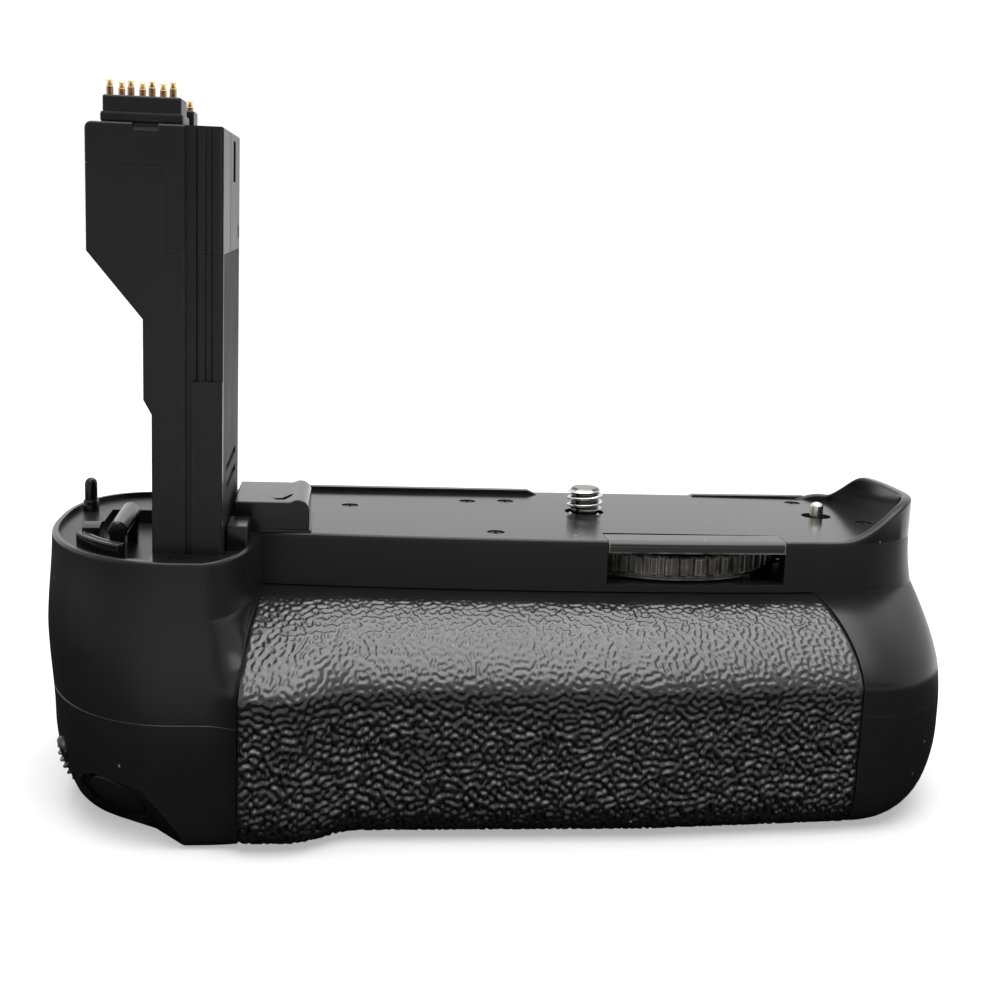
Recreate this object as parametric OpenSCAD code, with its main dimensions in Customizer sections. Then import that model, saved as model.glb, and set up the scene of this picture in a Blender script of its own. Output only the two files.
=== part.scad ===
// Vertical battery grip for a camera body.
// Origin: axis of the attachment screw, on the plane where the camera's base rests.
// X runs along the grip, Y to its back, Z up into the camera. Millimetres.

/* [Body] */
// Reach of the control end to the left of the screw axis
body_left = 91; // [86:0.5:98]
// Reach of the plain end to the right of the screw axis
body_right = 61; // [59:0.5:68]
// Height of the body below the camera's base
body_height = 44; // [43:0.5:48]
// Front of the upper band, before the screw axis
band_front = 24.3; // [23.5:0.1:26]
// Height of the upper band above the rubber
band_height = 8.7; // [8:0.1:9.5]
// Front of the hand rest at its middle, before the screw axis
grip_front = 44.5; // [43:0.5:50]
// Front of the control end at its rim, before the screw axis
bulge_front = 44; // [42:0.5:48]
// Back of the body behind the screw axis
rear_reach = 20; // [19:0.5:24]
// Depth of the parting line below the camera's base
seam_depth = 24.2; // [23:0.1:26]
// Wall of the moulded housings
shell_wall = 2.2; // [1.8:0.1:2.6]
// Thickness of the front rubber
rubber_thick = 1.6; // [1.2:0.1:2.2]
// Height of the lip at the plain end
lip_height = 6.2; // [4:0.2:8]
// Wall of that lip
lip_wall = 1.8; // [1.4:0.1:2.4]

/* [Tower] */
// Depth of the tower from front to back
tower_depth = 36; // [34:0.5:38]
// Width of the tower's stem
stem_width = 10.4; // [9:0.2:12]
// Width of the tower's head
head_width = 19.6; // [18:0.2:22]
// Height of the head's top above the camera's base
tower_height = 63; // [58:0.5:70]
// Wall of the tower
tower_wall = 1.4; // [1:0.1:1.6]
// Diameter of a contact pin
contact_d = 1; // [0.8:0.1:1.2]
// Height of a contact pin above its block
contact_rise = 2.1; // [1.5:0.1:4]

/* [Attachment] */
// Diameter of the attachment screw
screw_d = 6.35; // [6:0.05:6.4]
// Height of the screw above the camera's base
screw_rise = 4.5; // [4:0.1:6.5]
// Outer radius of the thumb wheel
wheel_r = 20; // [19.6:0.1:20.4]
// Thickness of the thumb wheel
wheel_thick = 3.4; // [3:0.1:3.8]
// Number of ridges round the wheel
wheel_ridges = 50; // [40:1:60]
// Diameter of the locating pin
pin_d = 2.4; // [2:0.1:3]
// Bore of the tripod socket
socket_d = 6.35; // [6:0.05:6.4]
// Depth of the tripod socket
socket_depth = 5; // [4:0.1:5]

/* [Magazine] */
// Length of one battery pack
battery_l = 56.5; // [54:0.5:57]
// Depth of one battery pack
battery_w = 38; // [36:0.5:38.5]
// Height of one battery pack
battery_h = 20.5; // [19:0.5:21]
// Wall of the magazine tray
tray_wall = 1.4; // [1:0.1:1.6]
// Sliding clearance of the magazine in its bay
bay_clear = 0.4; // [0.3:0.05:0.5]
// Radius of the release knob
knob_r = 8; // [7:0.25:9]

/* [Controls] */
// Radius of the release button
shutter_r = 5; // [4.5:0.1:5.4]
// Travel of the release button
shutter_travel = 1.2; // [0.8:0.1:1.4]
// Radius of the command dial
dial_r = 8; // [7.5:0.1:8.2]
// Width of the command dial
dial_width = 6; // [5:0.1:6.5]
// Teeth round the dial
dial_teeth = 40; // [30:1:48]
// Radius of a rear button
rear_button_r = 2.6; // [2.2:0.1:3]
// Gap round a button in its hole
button_gap = 0.25; // [0.2:0.05:0.35]

/* [Hidden] */
$fn = 64;
eps = 0.01;

black = "#1d1d1f";
gloss_black = "#141416";
rubber_grey = "#2a2b2d";
steel = "#c9cacc";
gold = "#b98b45";
brass = "#b59a55";
board_green = "#1f4a33";

function smooth(t) = t <= 0 ? 0 : t >= 1 ? 1 : t * t * (3 - 2 * t);
function mix(a, b, t) = a + (b - a) * t;
function power(v, e) = v <= 0 ? 0 : pow(v, e);

// Body surface: plan outlines stacked along Z
shoulder_height = 11.3;
shoulder_power = 1.7;
shoulder_hollow = 0.12;
front_round = 7;
bulge_round = 2.5;
rear_round = 3;
rear_top_round = 2;
bulge_flare = 2.5;
bulge_rim_rear = rear_reach - 8;
corner_x = -64.5;
left_centre = [-body_left + 23, -14];
rear_left_x = -body_left + 17;
rear_step_x = -54;
right_centre_y = -8;
rear_right_x = body_right - 17.5;
rubber_proud = 0.4;
rubber_seat = rubber_thick - rubber_proud;
rubber_gap = 0.15;
band_right_inset = 4.4;
left_draft = 0.8;
left_taper = 1.1;
left_round = 15;
left_round_share = 0.62;
right_round = 14;
right_round_share = 0.75;
band_bow = 2.4;
hand_taper = 2.7;
finger_rise = 5;

function clamp(t) = max(0, min(1, t));
function shoulder_curve(t) = pow(1 - pow(1 - t, shoulder_power), 1 / shoulder_power);
function shoulder(z) = shoulder_curve(clamp((-z - band_height) / shoulder_height));
// The same shoulder with a hollow at its top, beside the rubber
function hollow_shoulder(z) =
    let (t = clamp((-z - band_height) / shoulder_height))
    shoulder_curve((1 + shoulder_hollow) * t * t / (t + shoulder_hollow));
function base_round(z, r) =
    let (t = (-z - body_height + r) / r)
    t <= 0 ? 0 : r * (1 - sqrt(max(0, 1 - t * t)));
function left_x(z) =
    -body_left + left_draft * smooth(1 + z / 15) + left_taper * smooth((-z - 14) / 16)
    + left_round_share * base_round(z, left_round);
function right_x(z) =
    body_right - band_right_inset * (1 - smooth(-z / 27))
    - right_round_share * base_round(z, right_round);
function bulge_y(z) =
    -bulge_front - bulge_flare * smooth(-z / 30) + base_round(z, bulge_round);
function band_y(x) = -band_front + band_bow * pow(x / 50, 2);
function hand_y(x) =
    -grip_front + hand_taper * max(0, (x - 5) / 34) - finger_rise * smooth((-40 - x) / 11);
function front_y(x, z, wall = 0) =
    mix(band_y(x), hand_y(x), shoulder(z + wall)) + base_round(z, front_round) + wall;
function top_round(z, r) =
    let (t = (z + r) / r)
    t <= 0 ? 0 : r * (1 - sqrt(max(0, 1 - t * t)));
function rear_y(z) = rear_reach - base_round(z, rear_round) - top_round(z, rear_top_round);
function rear_left_y(z) =
    mix(bulge_rim_rear, rear_y(z), smooth((-z - 3) / 6));
function rubber_left(z) = -56.5 - 2 * shoulder(z);
function rubber_right(z) = 36 + 3.4 * shoulder(z);

// Outline at one level: k is steps per arc, wall moves it inwards, seat sinks the rubber's field
function outline(z, k, wall, seat) =
    let (
        lx = left_x(z) + wall,
        rx = right_x(z) - wall,
        by = bulge_y(z) + wall,
        r0 = rubber_left(z),
        r1 = rubber_right(z),
        y0 = front_y(r0, z, wall),
        y1 = front_y(r1, z, wall),
        y2 = y1 + (hand_y(r1) - band_y(r1)) * (hollow_shoulder(z + wall) - shoulder(z + wall)),
        ry = rear_y(z) - wall,
        rly = rear_left_y(z) - wall
    )
    concat(
        [for (i = [0 : k]) let (a = 90 * i / k) [
            left_centre.x - (left_centre.x - lx) * power(cos(a), 0.95),
            left_centre.y - (left_centre.y - by) * power(sin(a), 0.95), z]],
        [for (i = [0 : k]) let (a = 90 * i / k) [
            corner_x + (r0 - corner_x) * sin(a), y0 + (by - y0) * cos(a), z]],
        [for (i = [0 : 2 * k]) let (x = mix(r0 + 0.05, r1 - 0.05, i / (2 * k)))
            [x, front_y(x, z, wall) + seat, z]],
        [for (i = [0 : k]) let (a = 90 * i / k) [
            r1 + (rx - r1) * power(sin(a), 0.9),
            right_centre_y + (mix(y1, y2, smooth(a / 35)) - right_centre_y) * power(cos(a), 0.9), z]],
        [for (i = [1 : k]) let (a = 90 * i / k) [
            rear_right_x + (rx - rear_right_x) * power(cos(a), 0.77),
            right_centre_y + (ry - right_centre_y) * power(sin(a), 0.77), z]],
        [for (i = [1 : 3]) [mix(rear_right_x, rear_step_x, i / 3), ry, z]],
        [for (i = [1 : 4]) [mix(rear_step_x, rear_left_x, i / 5), mix(ry, rly, smooth(i / 5)), z]],
        [for (i = [0 : k - 1]) let (a = 90 - 90 * i / k) [
            rear_left_x - (rear_left_x - lx) * power(cos(a), 0.77),
            left_centre.y + (rly - left_centre.y) * power(sin(a), 0.77), z]]
    );

// Closed skin over a list of rings with equal counts
module skin(rings) {
    n = len(rings[0]);
    m = len(rings);
    points = [for (r = rings) each r];
    sides = [for (j = [0 : m - 2], i = [0 : n - 1])
        let (i2 = (i + 1) % n)
        each [
            [j * n + i, (j + 1) * n + i, j * n + i2],
            [j * n + i2, (j + 1) * n + i, (j + 1) * n + i2]
        ]];
    bottom = [for (i = [0 : n - 1]) i];
    top = [for (i = [n - 1 : -1 : 0]) (m - 1) * n + i];
    polyhedron(points, concat(sides, [bottom, top]));
}

shoulder_levels = [for (a = [0 : 18 : 90]) -band_height - shoulder_height * (1 - power(cos(a), 1.2))];
base_levels = [for (a = [75, 55, 37, 18, 0]) -body_height + front_round * (1 - sin(a))];
rubber_levels = concat(base_levels, [-31, -seam_depth], [for (i = [5 : -1 : 0]) shoulder_levels[i]]);
seat_step = 0.1;
body_steps = 8;
cavity_steps = 4;
top_levels = [for (a = [0, 35, 65, 90]) -rear_top_round * (1 - sin(a))];
skin_over = 1;
outer_levels = concat([-body_height - skin_over], rubber_levels, [-band_height + seat_step, -4],
    top_levels, [skin_over]);

// Slice of space between two levels
module level_box(bottom, top) {
    translate([-150, -100, bottom]) cube([300, 200, top - bottom]);
}

module body_skin(bottom, top) {
    intersection() {
        skin([for (z = outer_levels)
            outline(z, body_steps, 0, z > -band_height + seat_step / 2 ? 0 : rubber_seat)]);
        level_box(bottom, top);
    }
}

// Hollow of the housings, the same outlines drawn in by the wall
cavity_floor = -body_height + shell_wall;
cavity_levels = [cavity_floor - skin_over, cavity_floor + 1.5, -36, -seam_depth, -18, -15,
    -band_height - 3.5, -band_height - shell_wall, 0];
module cavity_skin(bottom, top) {
    intersection() {
        skin([for (z = cavity_levels) outline(z, cavity_steps, shell_wall, rubber_seat)]);
        level_box(bottom, top);
    }
}

// Places a shape with its own +Z along the direction dir at the point pos
module along(pos, dir) {
    translate(pos) rotate([0, acos(dir.z / norm(dir)), atan2(dir.y, dir.x)]) children();
}

// Control shoulder: a flat cut across the lower left front corner
shutter_pos = [-body_left + 13.5, -bulge_front + 5.3, -body_height + 5.3];
shutter_dir = [-0.473, -0.63, -0.613];
module shoulder_cut(depth) {
    along(shutter_pos, shutter_dir) translate([-30, -30, -depth]) cube([60, 60, 40]);
}

// Attachment: wheel ring with inner teeth that drives the gear on the screw
tooth_module = 0.6;
wheel_teeth = 58;
gear_teeth = 12;
wheel_offset = tooth_module * (wheel_teeth - gear_teeth) / 2;
wheel_x = 13.3;
wheel_pos = [wheel_x, -sqrt(wheel_offset * wheel_offset - wheel_x * wheel_x)];
mesh_angle = atan2(-wheel_pos.y, -wheel_pos.x);
retainer_spots = [[-9, 8], [36, 6], [-9, -12]];
wheel_top = -2.8;
wheel_bottom = wheel_top - wheel_thick;
wheel_gap = 0.3;
guide_r = [wheel_r - 1.7, wheel_r - 0.7];
guide_depth = 0.7;
guide_gap = 0.2;
slot_x = [0.2, 30.6];
slot_bottom = wheel_bottom - guide_depth - 0.4;
trim_height = 2;
retainer_top = wheel_bottom - wheel_gap;
retainer_thick = 2.4;
retainer_gap = 0.3;
retainer_front = band_y(wheel_pos.x + wheel_r) + shell_wall + rubber_seat + retainer_gap;
retainer_bottom = retainer_top - retainer_thick;
spindle_r = 2;
running = 0.05;
bush_r = 4;
screw_gap = 0.33;
bush_bottom = retainer_bottom - 1;

module ring(r_out, r_in, h) {
    difference() {
        cylinder(r = r_out, h = h);
        translate([0, 0, -1]) cylinder(r = r_in, h = h + 2);
    }
}

// Toothed outline: count teeth between two radii, with a share of the pitch at foot and tip
module toothed(count, r_foot, r_tip, foot, tip) {
    pitch = 360 / count;
    polygon([for (i = [0 : count - 1], c = [[-foot, r_foot], [-tip, r_tip], [tip, r_tip], [foot, r_foot]])
        let (a = (i + c[0] / 2) * pitch) c[1] * [cos(a), sin(a)]]);
}

// Magazine bay
bay_wall = 1.5;
bay_slope = [5, 1.2];
bay_top = -14.2;
bay_size = [2 * battery_l + 2 * tray_wall + 1 + 2 * bay_clear, 0,
    battery_h + tray_wall + 0.4 + 2 * bay_clear];
bay_bottom = bay_top - bay_size.z;
bay_right = 46.5;
bay_left = bay_right - bay_size.x;
door_thick = 2.4;
door_front = rear_reach - door_thick;
latch_thick = 1.4;
latch_room = 2.2;
bay_rear = door_front - latch_room;
bay_front = bay_rear - battery_w - tray_wall - 0.6 - bay_clear;
door_rim = 1.6;
door_gap = 0.3;
door_box = [[bay_left - door_rim, bay_bottom - 0.6], [bay_right + door_rim, bay_top + door_rim]];

module rounded_plate(lo, hi, r, thick) {
    translate([lo.x, 0, lo.y]) rotate([90, 0, 0]) translate([0, 0, -thick]) linear_extrude(thick) {
        w = hi.x - lo.x;
        h = hi.y - lo.y;
        translate([r, 0]) square([w - 2 * r, h]);
        translate([0, r]) square([w, h - 2 * r]);
        for (x = [r, w - r], y = [r, h - r]) translate([x, y]) circle(r = r);
    }
}

module door_opening() {
    translate([0, rear_reach - 6, 0])
        rounded_plate(door_box[0] - [door_gap, door_gap], door_box[1] + [door_gap, door_gap], 3, 12);
}

// Places shared by holes, carriers and fasteners
cover_screw_r = 1.4;
cover_screw_spots = [[-20.5, 7.8], [-17.9, -18.7], [-13.4, 8.5], [42.2, 12], [-42, 2.1],
    [body_right - 11, -5.9]];
front_screw_spots = [[-52, -grip_front + 10.5], [26, -grip_front + 11.5]];
end_screw_spots = [[body_right - 8, -4], [-body_left + 8.5, 0]];
base_screw_spots = concat(front_screw_spots, end_screw_spots);
base_screw_r = 1.25;
pin_pos = [43, -0.3];
pin_recess_r = 2.7;
pin_neck = 0.3;
pin_rise = 2;
peg_pos = [-body_left + 4.8, -2.2];
tower_right = -61.6;
tower_left = tower_right - stem_width;
head_left = tower_right - head_width;
tower_front = -bulge_front + 6.6;
tower_rear = tower_front + tower_depth;
tower_foot = -9;
well_floor = -1.2;
well_x = [-body_left + 8, tower_right + 0.2];
rim_wall = 1.6;
button_depth = 5.6;
button_flange = 0.7;
board_rear = rear_reach - button_depth - 2.4;
board_post_x = [-2.2, 3.2];
control_board_top = 8.6;
barrel_wall = 1.3;
ring_sink = 0.6;
base_screw_grip = 8;
dial_pos = [-body_left + 10.2, -bulge_front + 22, -body_height + 8.5];
dial_gap = 0.5;
axle_r = 1.2;
axle_length = dial_width + 5;
button_x = -body_left + 13.5;
button_levels = [-seam_depth + 12.2, -seam_depth + 5.4, -seam_depth - 5];
lever_pos = [button_x, -seam_depth - 12];
lever_r = 3.6;
function_pos = [-body_left + 4.6, -bulge_front + 13, -body_height + 10.4];
function_dir = [-0.9, -0.25, -0.36];
function_r = 2.2;

// Outline of the control end's rim, drawn in by wall, closed at its right side
module rim_outline(wall) {
    polygon(concat(
        [for (a = [0 : 7.5 : 90]) [
            left_centre.x - (left_centre.x - left_x(0) - wall) * power(cos(a), 0.95),
            left_centre.y - (left_centre.y - bulge_y(0) - wall) * power(sin(a), 0.95)]],
        [for (a = [0 : 15 : 90]) [
            corner_x + (rubber_left(0) - wall - corner_x) * sin(a),
            band_y(rubber_left(0)) + (bulge_y(0) + wall - band_y(rubber_left(0))) * cos(a)]],
        [[rubber_left(0) - wall, bulge_rim_rear - wall]],
        [for (a = [90 : -7.5 : 7.5]) [
            rear_left_x - (rear_left_x - left_x(0) - wall) * power(cos(a), 0.77),
            left_centre.y + (bulge_rim_rear - wall - left_centre.y) * power(sin(a), 0.77)]]
    ));
}

// Raised lip round the plain end
lip_steps = 10;
lip_run = [16, 13];
lip_back = 1.1;
function lip_front_z(p) =
    lip_height * smooth((p.x - body_right + band_right_inset + lip_run[0]) / lip_run[0])
    * (1 - smooth((p.y - 7) / lip_run[1]));
function lip_back_z(p) = lip_back * smooth((p.x - rear_right_x) / 6) * smooth((p.y - 7) / 6);
function lip_z(p) = max(lip_front_z(p), lip_back_z(p)) + eps;
module end_lip() {
    edge = outline(0, lip_steps, 0, 0);
    inner = outline(0, lip_steps, lip_wall, 0);
    first = 4 * lip_steps + 3;
    last = first + 2 * lip_steps;
    sections = [for (i = [first : last])
        let (o = edge[i], n = inner[i]) [
            [o.x, o.y, -1], [n.x, n.y, -1], [n.x, n.y, lip_z(o)], [o.x, o.y, lip_z(o)]]];
    skin(sections);
}

module upper_housing() {
    color(black) difference() {
        union() {
            difference() {
                body_skin(-seam_depth, 0);
                cavity_skin(-seam_depth - skin_over, -shell_wall);
            }
            end_lip();
            // Low ridge along the back edge
            translate([-50, rear_reach - 4.6, -eps]) cube([44, 1.6, 0.8]);
            // Box of the well, with a floor under the tower, kept inside the rim
            intersection() {
                translate([well_x[0] - 1.5, tower_front - 1.7, tower_foot - 1.2])
                    cube([well_x[1] - well_x[0] + 3, tower_depth + 3.4, 0.7 - tower_foot]);
                translate([0, 0, tower_foot - 2]) linear_extrude(2 - tower_foot) rim_outline(rim_wall / 2);
            }
            // Bosses for the housing screws
            for (p = front_screw_spots) translate([p.x, p.y, -seam_depth]) cylinder(r = 2.8, h = seam_depth - 13.5);
            translate([end_screw_spots[0].x, end_screw_spots[0].y, -seam_depth])
                cylinder(r = 2.8, h = seam_depth - 1.5);
            translate([end_screw_spots[1].x, end_screw_spots[1].y, -seam_depth])
                cylinder(r = 2.8, h = seam_depth + tower_foot - 0.5);
            // Posts for the rear button board
            for (x = board_post_x)
                translate([button_x + x, board_rear, (button_levels[0] + button_levels[1]) / 2])
                rotate([-90, 0, 0]) cylinder(r = 0.8, h = rear_reach - shell_wall - board_rear + 0.5);
            // Wedge beside the foot of the tower
            translate([tower_right + 0.4, -31, well_floor - 1]) cube([2.4, 8, 5]);
            // Bosses that carry the retainer
            for (p = retainer_spots) translate([p.x, p.y, retainer_top])
                cylinder(r = 2.6, h = -retainer_top - 1);
        }
        // Well with its ledge and the way in for the tower
        difference() {
            translate([0, 0, well_floor]) linear_extrude(3) rim_outline(rim_wall);
            translate([tower_right + 0.4, -31, well_floor - 1]) cube([2.4, 8, 5]);
        }
        intersection() {
            translate([well_x[0], tower_front - 0.2, tower_foot])
                cube([well_x[1] - well_x[0], tower_depth + 0.4, well_floor - tower_foot + eps]);
            translate([0, 0, tower_foot - 1]) linear_extrude(-tower_foot) rim_outline(2 * rim_wall);
        }
        // Screw, pin and cover screws
        translate([0, 0, -5]) cylinder(r = screw_d / 2 + screw_gap, h = 10);
        translate([pin_pos.x, pin_pos.y, -1.4]) cylinder(r = pin_recess_r, h = 3);
        translate([pin_pos.x, pin_pos.y, -5]) cylinder(r = pin_d / 2 - pin_neck + running / 5, h = 6);
        for (p = cover_screw_spots) translate([p.x, p.y, -0.9]) cylinder(r = cover_screw_r + 0.1, h = 3);
        for (p = retainer_spots) translate([p.x, p.y, retainer_top - 1]) cylinder(r = 0.9 + running, h = 4.4);
        for (p = base_screw_spots) translate([p.x, p.y, -seam_depth - 1])
            cylinder(r = base_screw_r + running, h = base_screw_grip + 1);
        // Slot of the thumb wheel and the room of its ring
        translate([slot_x[0], -40, slot_bottom]) cube([slot_x[1] - slot_x[0], 40 - 18, 3 - slot_bottom]);
        translate([wheel_pos.x, wheel_pos.y, slot_bottom])
            cylinder(r = wheel_r + 0.5, h = wheel_top - slot_bottom + 0.4);
        door_opening();
        for (i = [0, 1]) rear_hole(button_x, button_levels[i], rear_button_r + button_gap);
    }
}

module rear_hole(x, z, r) {
    translate([x, rear_reach - 8, z]) rotate([-90, 0, 0]) cylinder(r = r, h = 12);
}

module lower_housing() {
    color(black) difference() {
        union() {
            difference() {
                body_skin(-body_height, -seam_depth);
                difference() {
                    cavity_skin(cavity_floor, -seam_depth + skin_over);
                    shoulder_cut(shell_wall);
                }
            }
            // Cheeks that hold the dial's axle
            for (y = [-1, 1])
                translate([dial_pos.x - 4, dial_pos.y + y * (dial_width / 2 + dial_gap + 1.1) - 1, cavity_floor - 1])
                cube([7, 2, dial_pos.z + 6.5 - cavity_floor + 1]);
            // Pillars for the housing screws
            for (p = base_screw_spots) translate([p.x, p.y, cavity_floor - 1])
                cylinder(r = 2.8, h = -seam_depth - 0.2 - cavity_floor + 1);
            // Round bed of the tripod socket
            translate([0, 0, -body_height]) cylinder(r = 9, h = bay_bottom - bay_wall + body_height - 0.2);
        }
        level_box(-seam_depth, skin_over);
        shoulder_cut(0);
        along(shutter_pos, shutter_dir) translate([0, 0, -6]) cylinder(r = shutter_r + barrel_wall, h = 12);
        along(function_pos, function_dir) translate([0, 0, -6]) cylinder(r = function_r + button_gap, h = 12);
        dial_axis() cylinder(r = dial_r + dial_gap, h = dial_width + 2 * dial_gap, center = true);
        dial_axis() cylinder(r = axle_r + running / 5, h = axle_length + 0.4, center = true);
        translate([0, 0, -body_height - 1]) cylinder(r = socket_body_r + running / 5, h = 20);
        for (p = base_screw_spots) translate([p.x, p.y, -body_height - 1]) {
            cylinder(r = base_screw_r + 0.15, h = 40);
            cylinder(r = base_screw_r * 2 + 0.2, h = 3.2);
        }
        door_opening();
        rear_hole(button_x, button_levels[2], rear_button_r + button_gap);
        rear_hole(lever_pos.x, lever_pos.y, lever_shaft_r + running);
    }
}

module dial_axis() {
    translate(dial_pos) rotate([90, 0, 0]) children();
}

module front_rubber() {
    k = 2 * body_steps;
    function patch(z, out) = [for (i = [0 : k])
        let (x = mix(rubber_left(z) + rubber_gap, rubber_right(z) - rubber_gap, i / k))
        [x, front_y(x, z) + (out ? -rubber_proud : rubber_seat - rubber_gap), z]];
    rings = [for (z = rubber_levels) let (f = patch(z, true), b = patch(z, false))
        concat(f, [for (i = [k : -1 : 0]) b[i]])];
    color(rubber_grey) skin(rings);
}

// Block that stores the camera's battery cover
holder_x = [-60.9, -48.8];
holder_y = [-21.3, -3];
holder_height = 4.6;
module cover_holder() {
    color(black) difference() {
        translate([0, holder_y[1], 0]) rotate([90, 0, 0]) linear_extrude(holder_y[1] - holder_y[0]) {
            translate([holder_x[0], 0]) square([holder_x[1] - holder_x[0] - 2, holder_height - 0.4]);
            translate([holder_x[0], 0]) square([holder_x[1] - holder_x[0], holder_height - 1.8]);
            translate([holder_x[1] - 2.2, holder_height - 2]) circle(r = 2.2);
        }
        translate([-56, -12.6, holder_height - 1]) cube([3.4, 1, 2]);
        translate([-60.9 - 1, -19, 1.2]) cube([9, 14, 1.8]);
    }
}

module wheel_trim() {
    y = band_y(slot_x[0]) - 0.1;
    color(gloss_black) translate([slot_x[0] + 0.1, 0, 0]) rotate([90, 0, 90])
        linear_extrude(slot_x[1] - slot_x[0] - 0.2) {
            translate([y + 1, -trim_height]) square([5, trim_height]);
            translate([y + 1, -trim_height / 2]) circle(r = trim_height / 2);
        }
}

module cover_screws() {
    color(steel) for (p = cover_screw_spots) translate([p.x, p.y, -0.9]) difference() {
        cylinder(r = cover_screw_r, h = 0.7);
        translate([0, 0, 0.35]) for (a = [0, 90]) rotate(a) translate([-0.9, -0.2, 0]) cube([1.8, 0.4, 1]);
    }
}

module wheel_retainer() {
    color(black) difference() {
        translate([wheel_pos.x, wheel_pos.y, retainer_bottom]) linear_extrude(retainer_thick) {
            intersection() {
                circle(r = wheel_r + 0.2);
                translate([-wheel_r - 1, retainer_front - wheel_pos.y]) square(2 * wheel_r + 2);
            }
            for (p = retainer_spots) {
                reach = p - wheel_pos;
                rotate(atan2(reach.y, reach.x)) translate([wheel_r - 4, -2.6])
                    square([norm(reach) - wheel_r + 4, 5.2]);
                translate(reach) circle(r = 3);
            }
        }
        translate([wheel_pos.x, wheel_pos.y, retainer_top - guide_depth])
            ring(guide_r[1] + guide_gap, guide_r[0] - guide_gap, 3);
        translate([0, 0, -20]) cylinder(r = bush_r + running / 5, h = 20);
        for (p = retainer_spots) translate([p.x, p.y, -20]) cylinder(r = 1.1, h = 20);
    }
}

module retainer_screws() {
    color(steel) for (p = retainer_spots) translate([p.x, p.y, retainer_bottom - 1.2]) {
        cylinder(r = 2, h = 1.2);
        cylinder(r = 0.9, h = 1.2 + retainer_thick + 3);
    }
}

module screw_bush() {
    color(brass) translate([0, 0, bush_bottom]) difference() {
        union() {
            cylinder(r = bush_r, h = retainer_top - bush_bottom);
            cylinder(r = bush_r + 1, h = 1);
        }
        translate([0, 0, -1]) cylinder(r = spindle_r + running, h = 20);
    }
}

screw_tip = 0.9;
screw_neck = 0.4;
module camera_screw() {
    color(steel) {
        translate([0, 0, wheel_top + 0.2]) cylinder(r = screw_d / 2 - screw_neck, h = eps - wheel_top - 0.2);
        cylinder(r = screw_d / 2, h = screw_rise - screw_tip);
        translate([0, 0, screw_rise - screw_tip])
            cylinder(r1 = screw_d / 2, r2 = screw_d / 2 - screw_tip, h = screw_tip);
        translate([0, 0, bush_bottom - 1.4]) cylinder(r = spindle_r, h = wheel_top + 0.2 - bush_bottom + 1.4 + eps);
    }
}

module screw_gear() {
    foot_r = tooth_module * gear_teeth / 2 - 0.55;
    tip_r = tooth_module * gear_teeth / 2 + 0.4;
    color(brass) translate([0, 0, wheel_bottom]) difference() {
        linear_extrude(wheel_thick) rotate(mesh_angle) toothed(gear_teeth, foot_r, tip_r, 0.5, 0.2);
        translate([0, 0, -1]) cylinder(r = spindle_r, h = 10);
    }
}

module screw_clip() {
    color(steel) translate([0, 0, bush_bottom - 1]) difference() {
        ring(4, spindle_r, 0.7);
        translate([0, -1, -1]) cube([6, 2, 3]);
    }
}

module attachment_wheel() {
    foot_r = tooth_module * wheel_teeth / 2 + 0.65;
    tip_r = tooth_module * wheel_teeth / 2 - 0.3;
    color(gloss_black) translate([wheel_pos.x, wheel_pos.y, 0]) {
        translate([0, 0, wheel_bottom]) linear_extrude(wheel_thick) difference() {
            toothed(wheel_ridges, wheel_r - 0.8, wheel_r, 0.62, 0.45);
            rotate(180 / wheel_teeth + mesh_angle)
                toothed(wheel_teeth, foot_r, tip_r, 0.6, 0.2);
        }
        translate([0, 0, wheel_bottom - guide_depth]) ring(guide_r[1], guide_r[0], guide_depth + eps);
    }
}

module locating_pin() {
    color(steel) translate([pin_pos.x, pin_pos.y, -5]) {
        cylinder(r = pin_d / 2 - pin_neck, h = 5 + eps);
        translate([0, 0, 5]) cylinder(r = pin_d / 2, h = pin_rise);
        translate([0, 0, 5 + pin_rise]) cylinder(r1 = pin_d / 2, r2 = pin_d / 2 - 0.5, h = 0.6);
    }
}

module guide_peg() {
    color(black) translate([peg_pos.x, peg_pos.y, well_floor]) difference() {
        union() {
            cylinder(r = 1.35, h = 2.2);
            cylinder(r = 1.05, h = 5);
            translate([0, 0, 5]) sphere(r = 1.05);
        }
        translate([-0.2, -2, 2.4]) cube([0.4, 4, 5]);
    }
}

// Bar in the well, on two legs that stand on the well's floor
hinge_bar_r = 1.5;
hinge_bar_pos = [well_x[0] + 5, tower_front + 6.4, 1.8];
hinge_bar_length = 16;
hinge_leg = [2.4, 2];
module hinge_bar() {
    leg_top = hinge_bar_pos.z - tower_foot;
    color(black) {
        translate(hinge_bar_pos) rotate([-90, 0, 0]) cylinder(r = hinge_bar_r, h = hinge_bar_length);
        for (y = [0, hinge_bar_length - hinge_leg.y])
            translate([hinge_bar_pos.x - hinge_leg.x / 2, hinge_bar_pos.y + y, tower_foot])
            cube([hinge_leg.x, hinge_leg.y, leg_top]);
    }
}

// Tower that goes up into the camera's battery bay
cap_left = tower_right - 8.7;
cap_joint = tower_height - 18.3;
cap_line = tower_height - 5.8;
face_step = 1;
neck_step = 1.2;
neck_drop = 9.7;
neck_foot = 23.1;
groove_x = tower_right - 5.5;
rail_x = tower_right - 4.4;
rail_top = 26;
side_cover_thick = 1.2;
fit = 0.05;

// Side profile of the tower's left half, drawn in by wall
module tower_profile(wall) {
    polygon([
        [tower_left + wall, tower_foot + wall], [tower_right - wall, tower_foot + wall],
        [tower_right - wall, cap_joint], [cap_left - wall, cap_joint], [cap_left - wall, cap_line],
        [head_left + wall, cap_line], [head_left + wall, cap_joint + wall * 0.4],
        [tower_left - neck_step + wall, cap_joint - neck_drop + wall * 0.4],
        [tower_left - neck_step + wall, neck_foot], [tower_left + wall, neck_foot - 2.2]
    ]);
}

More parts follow.
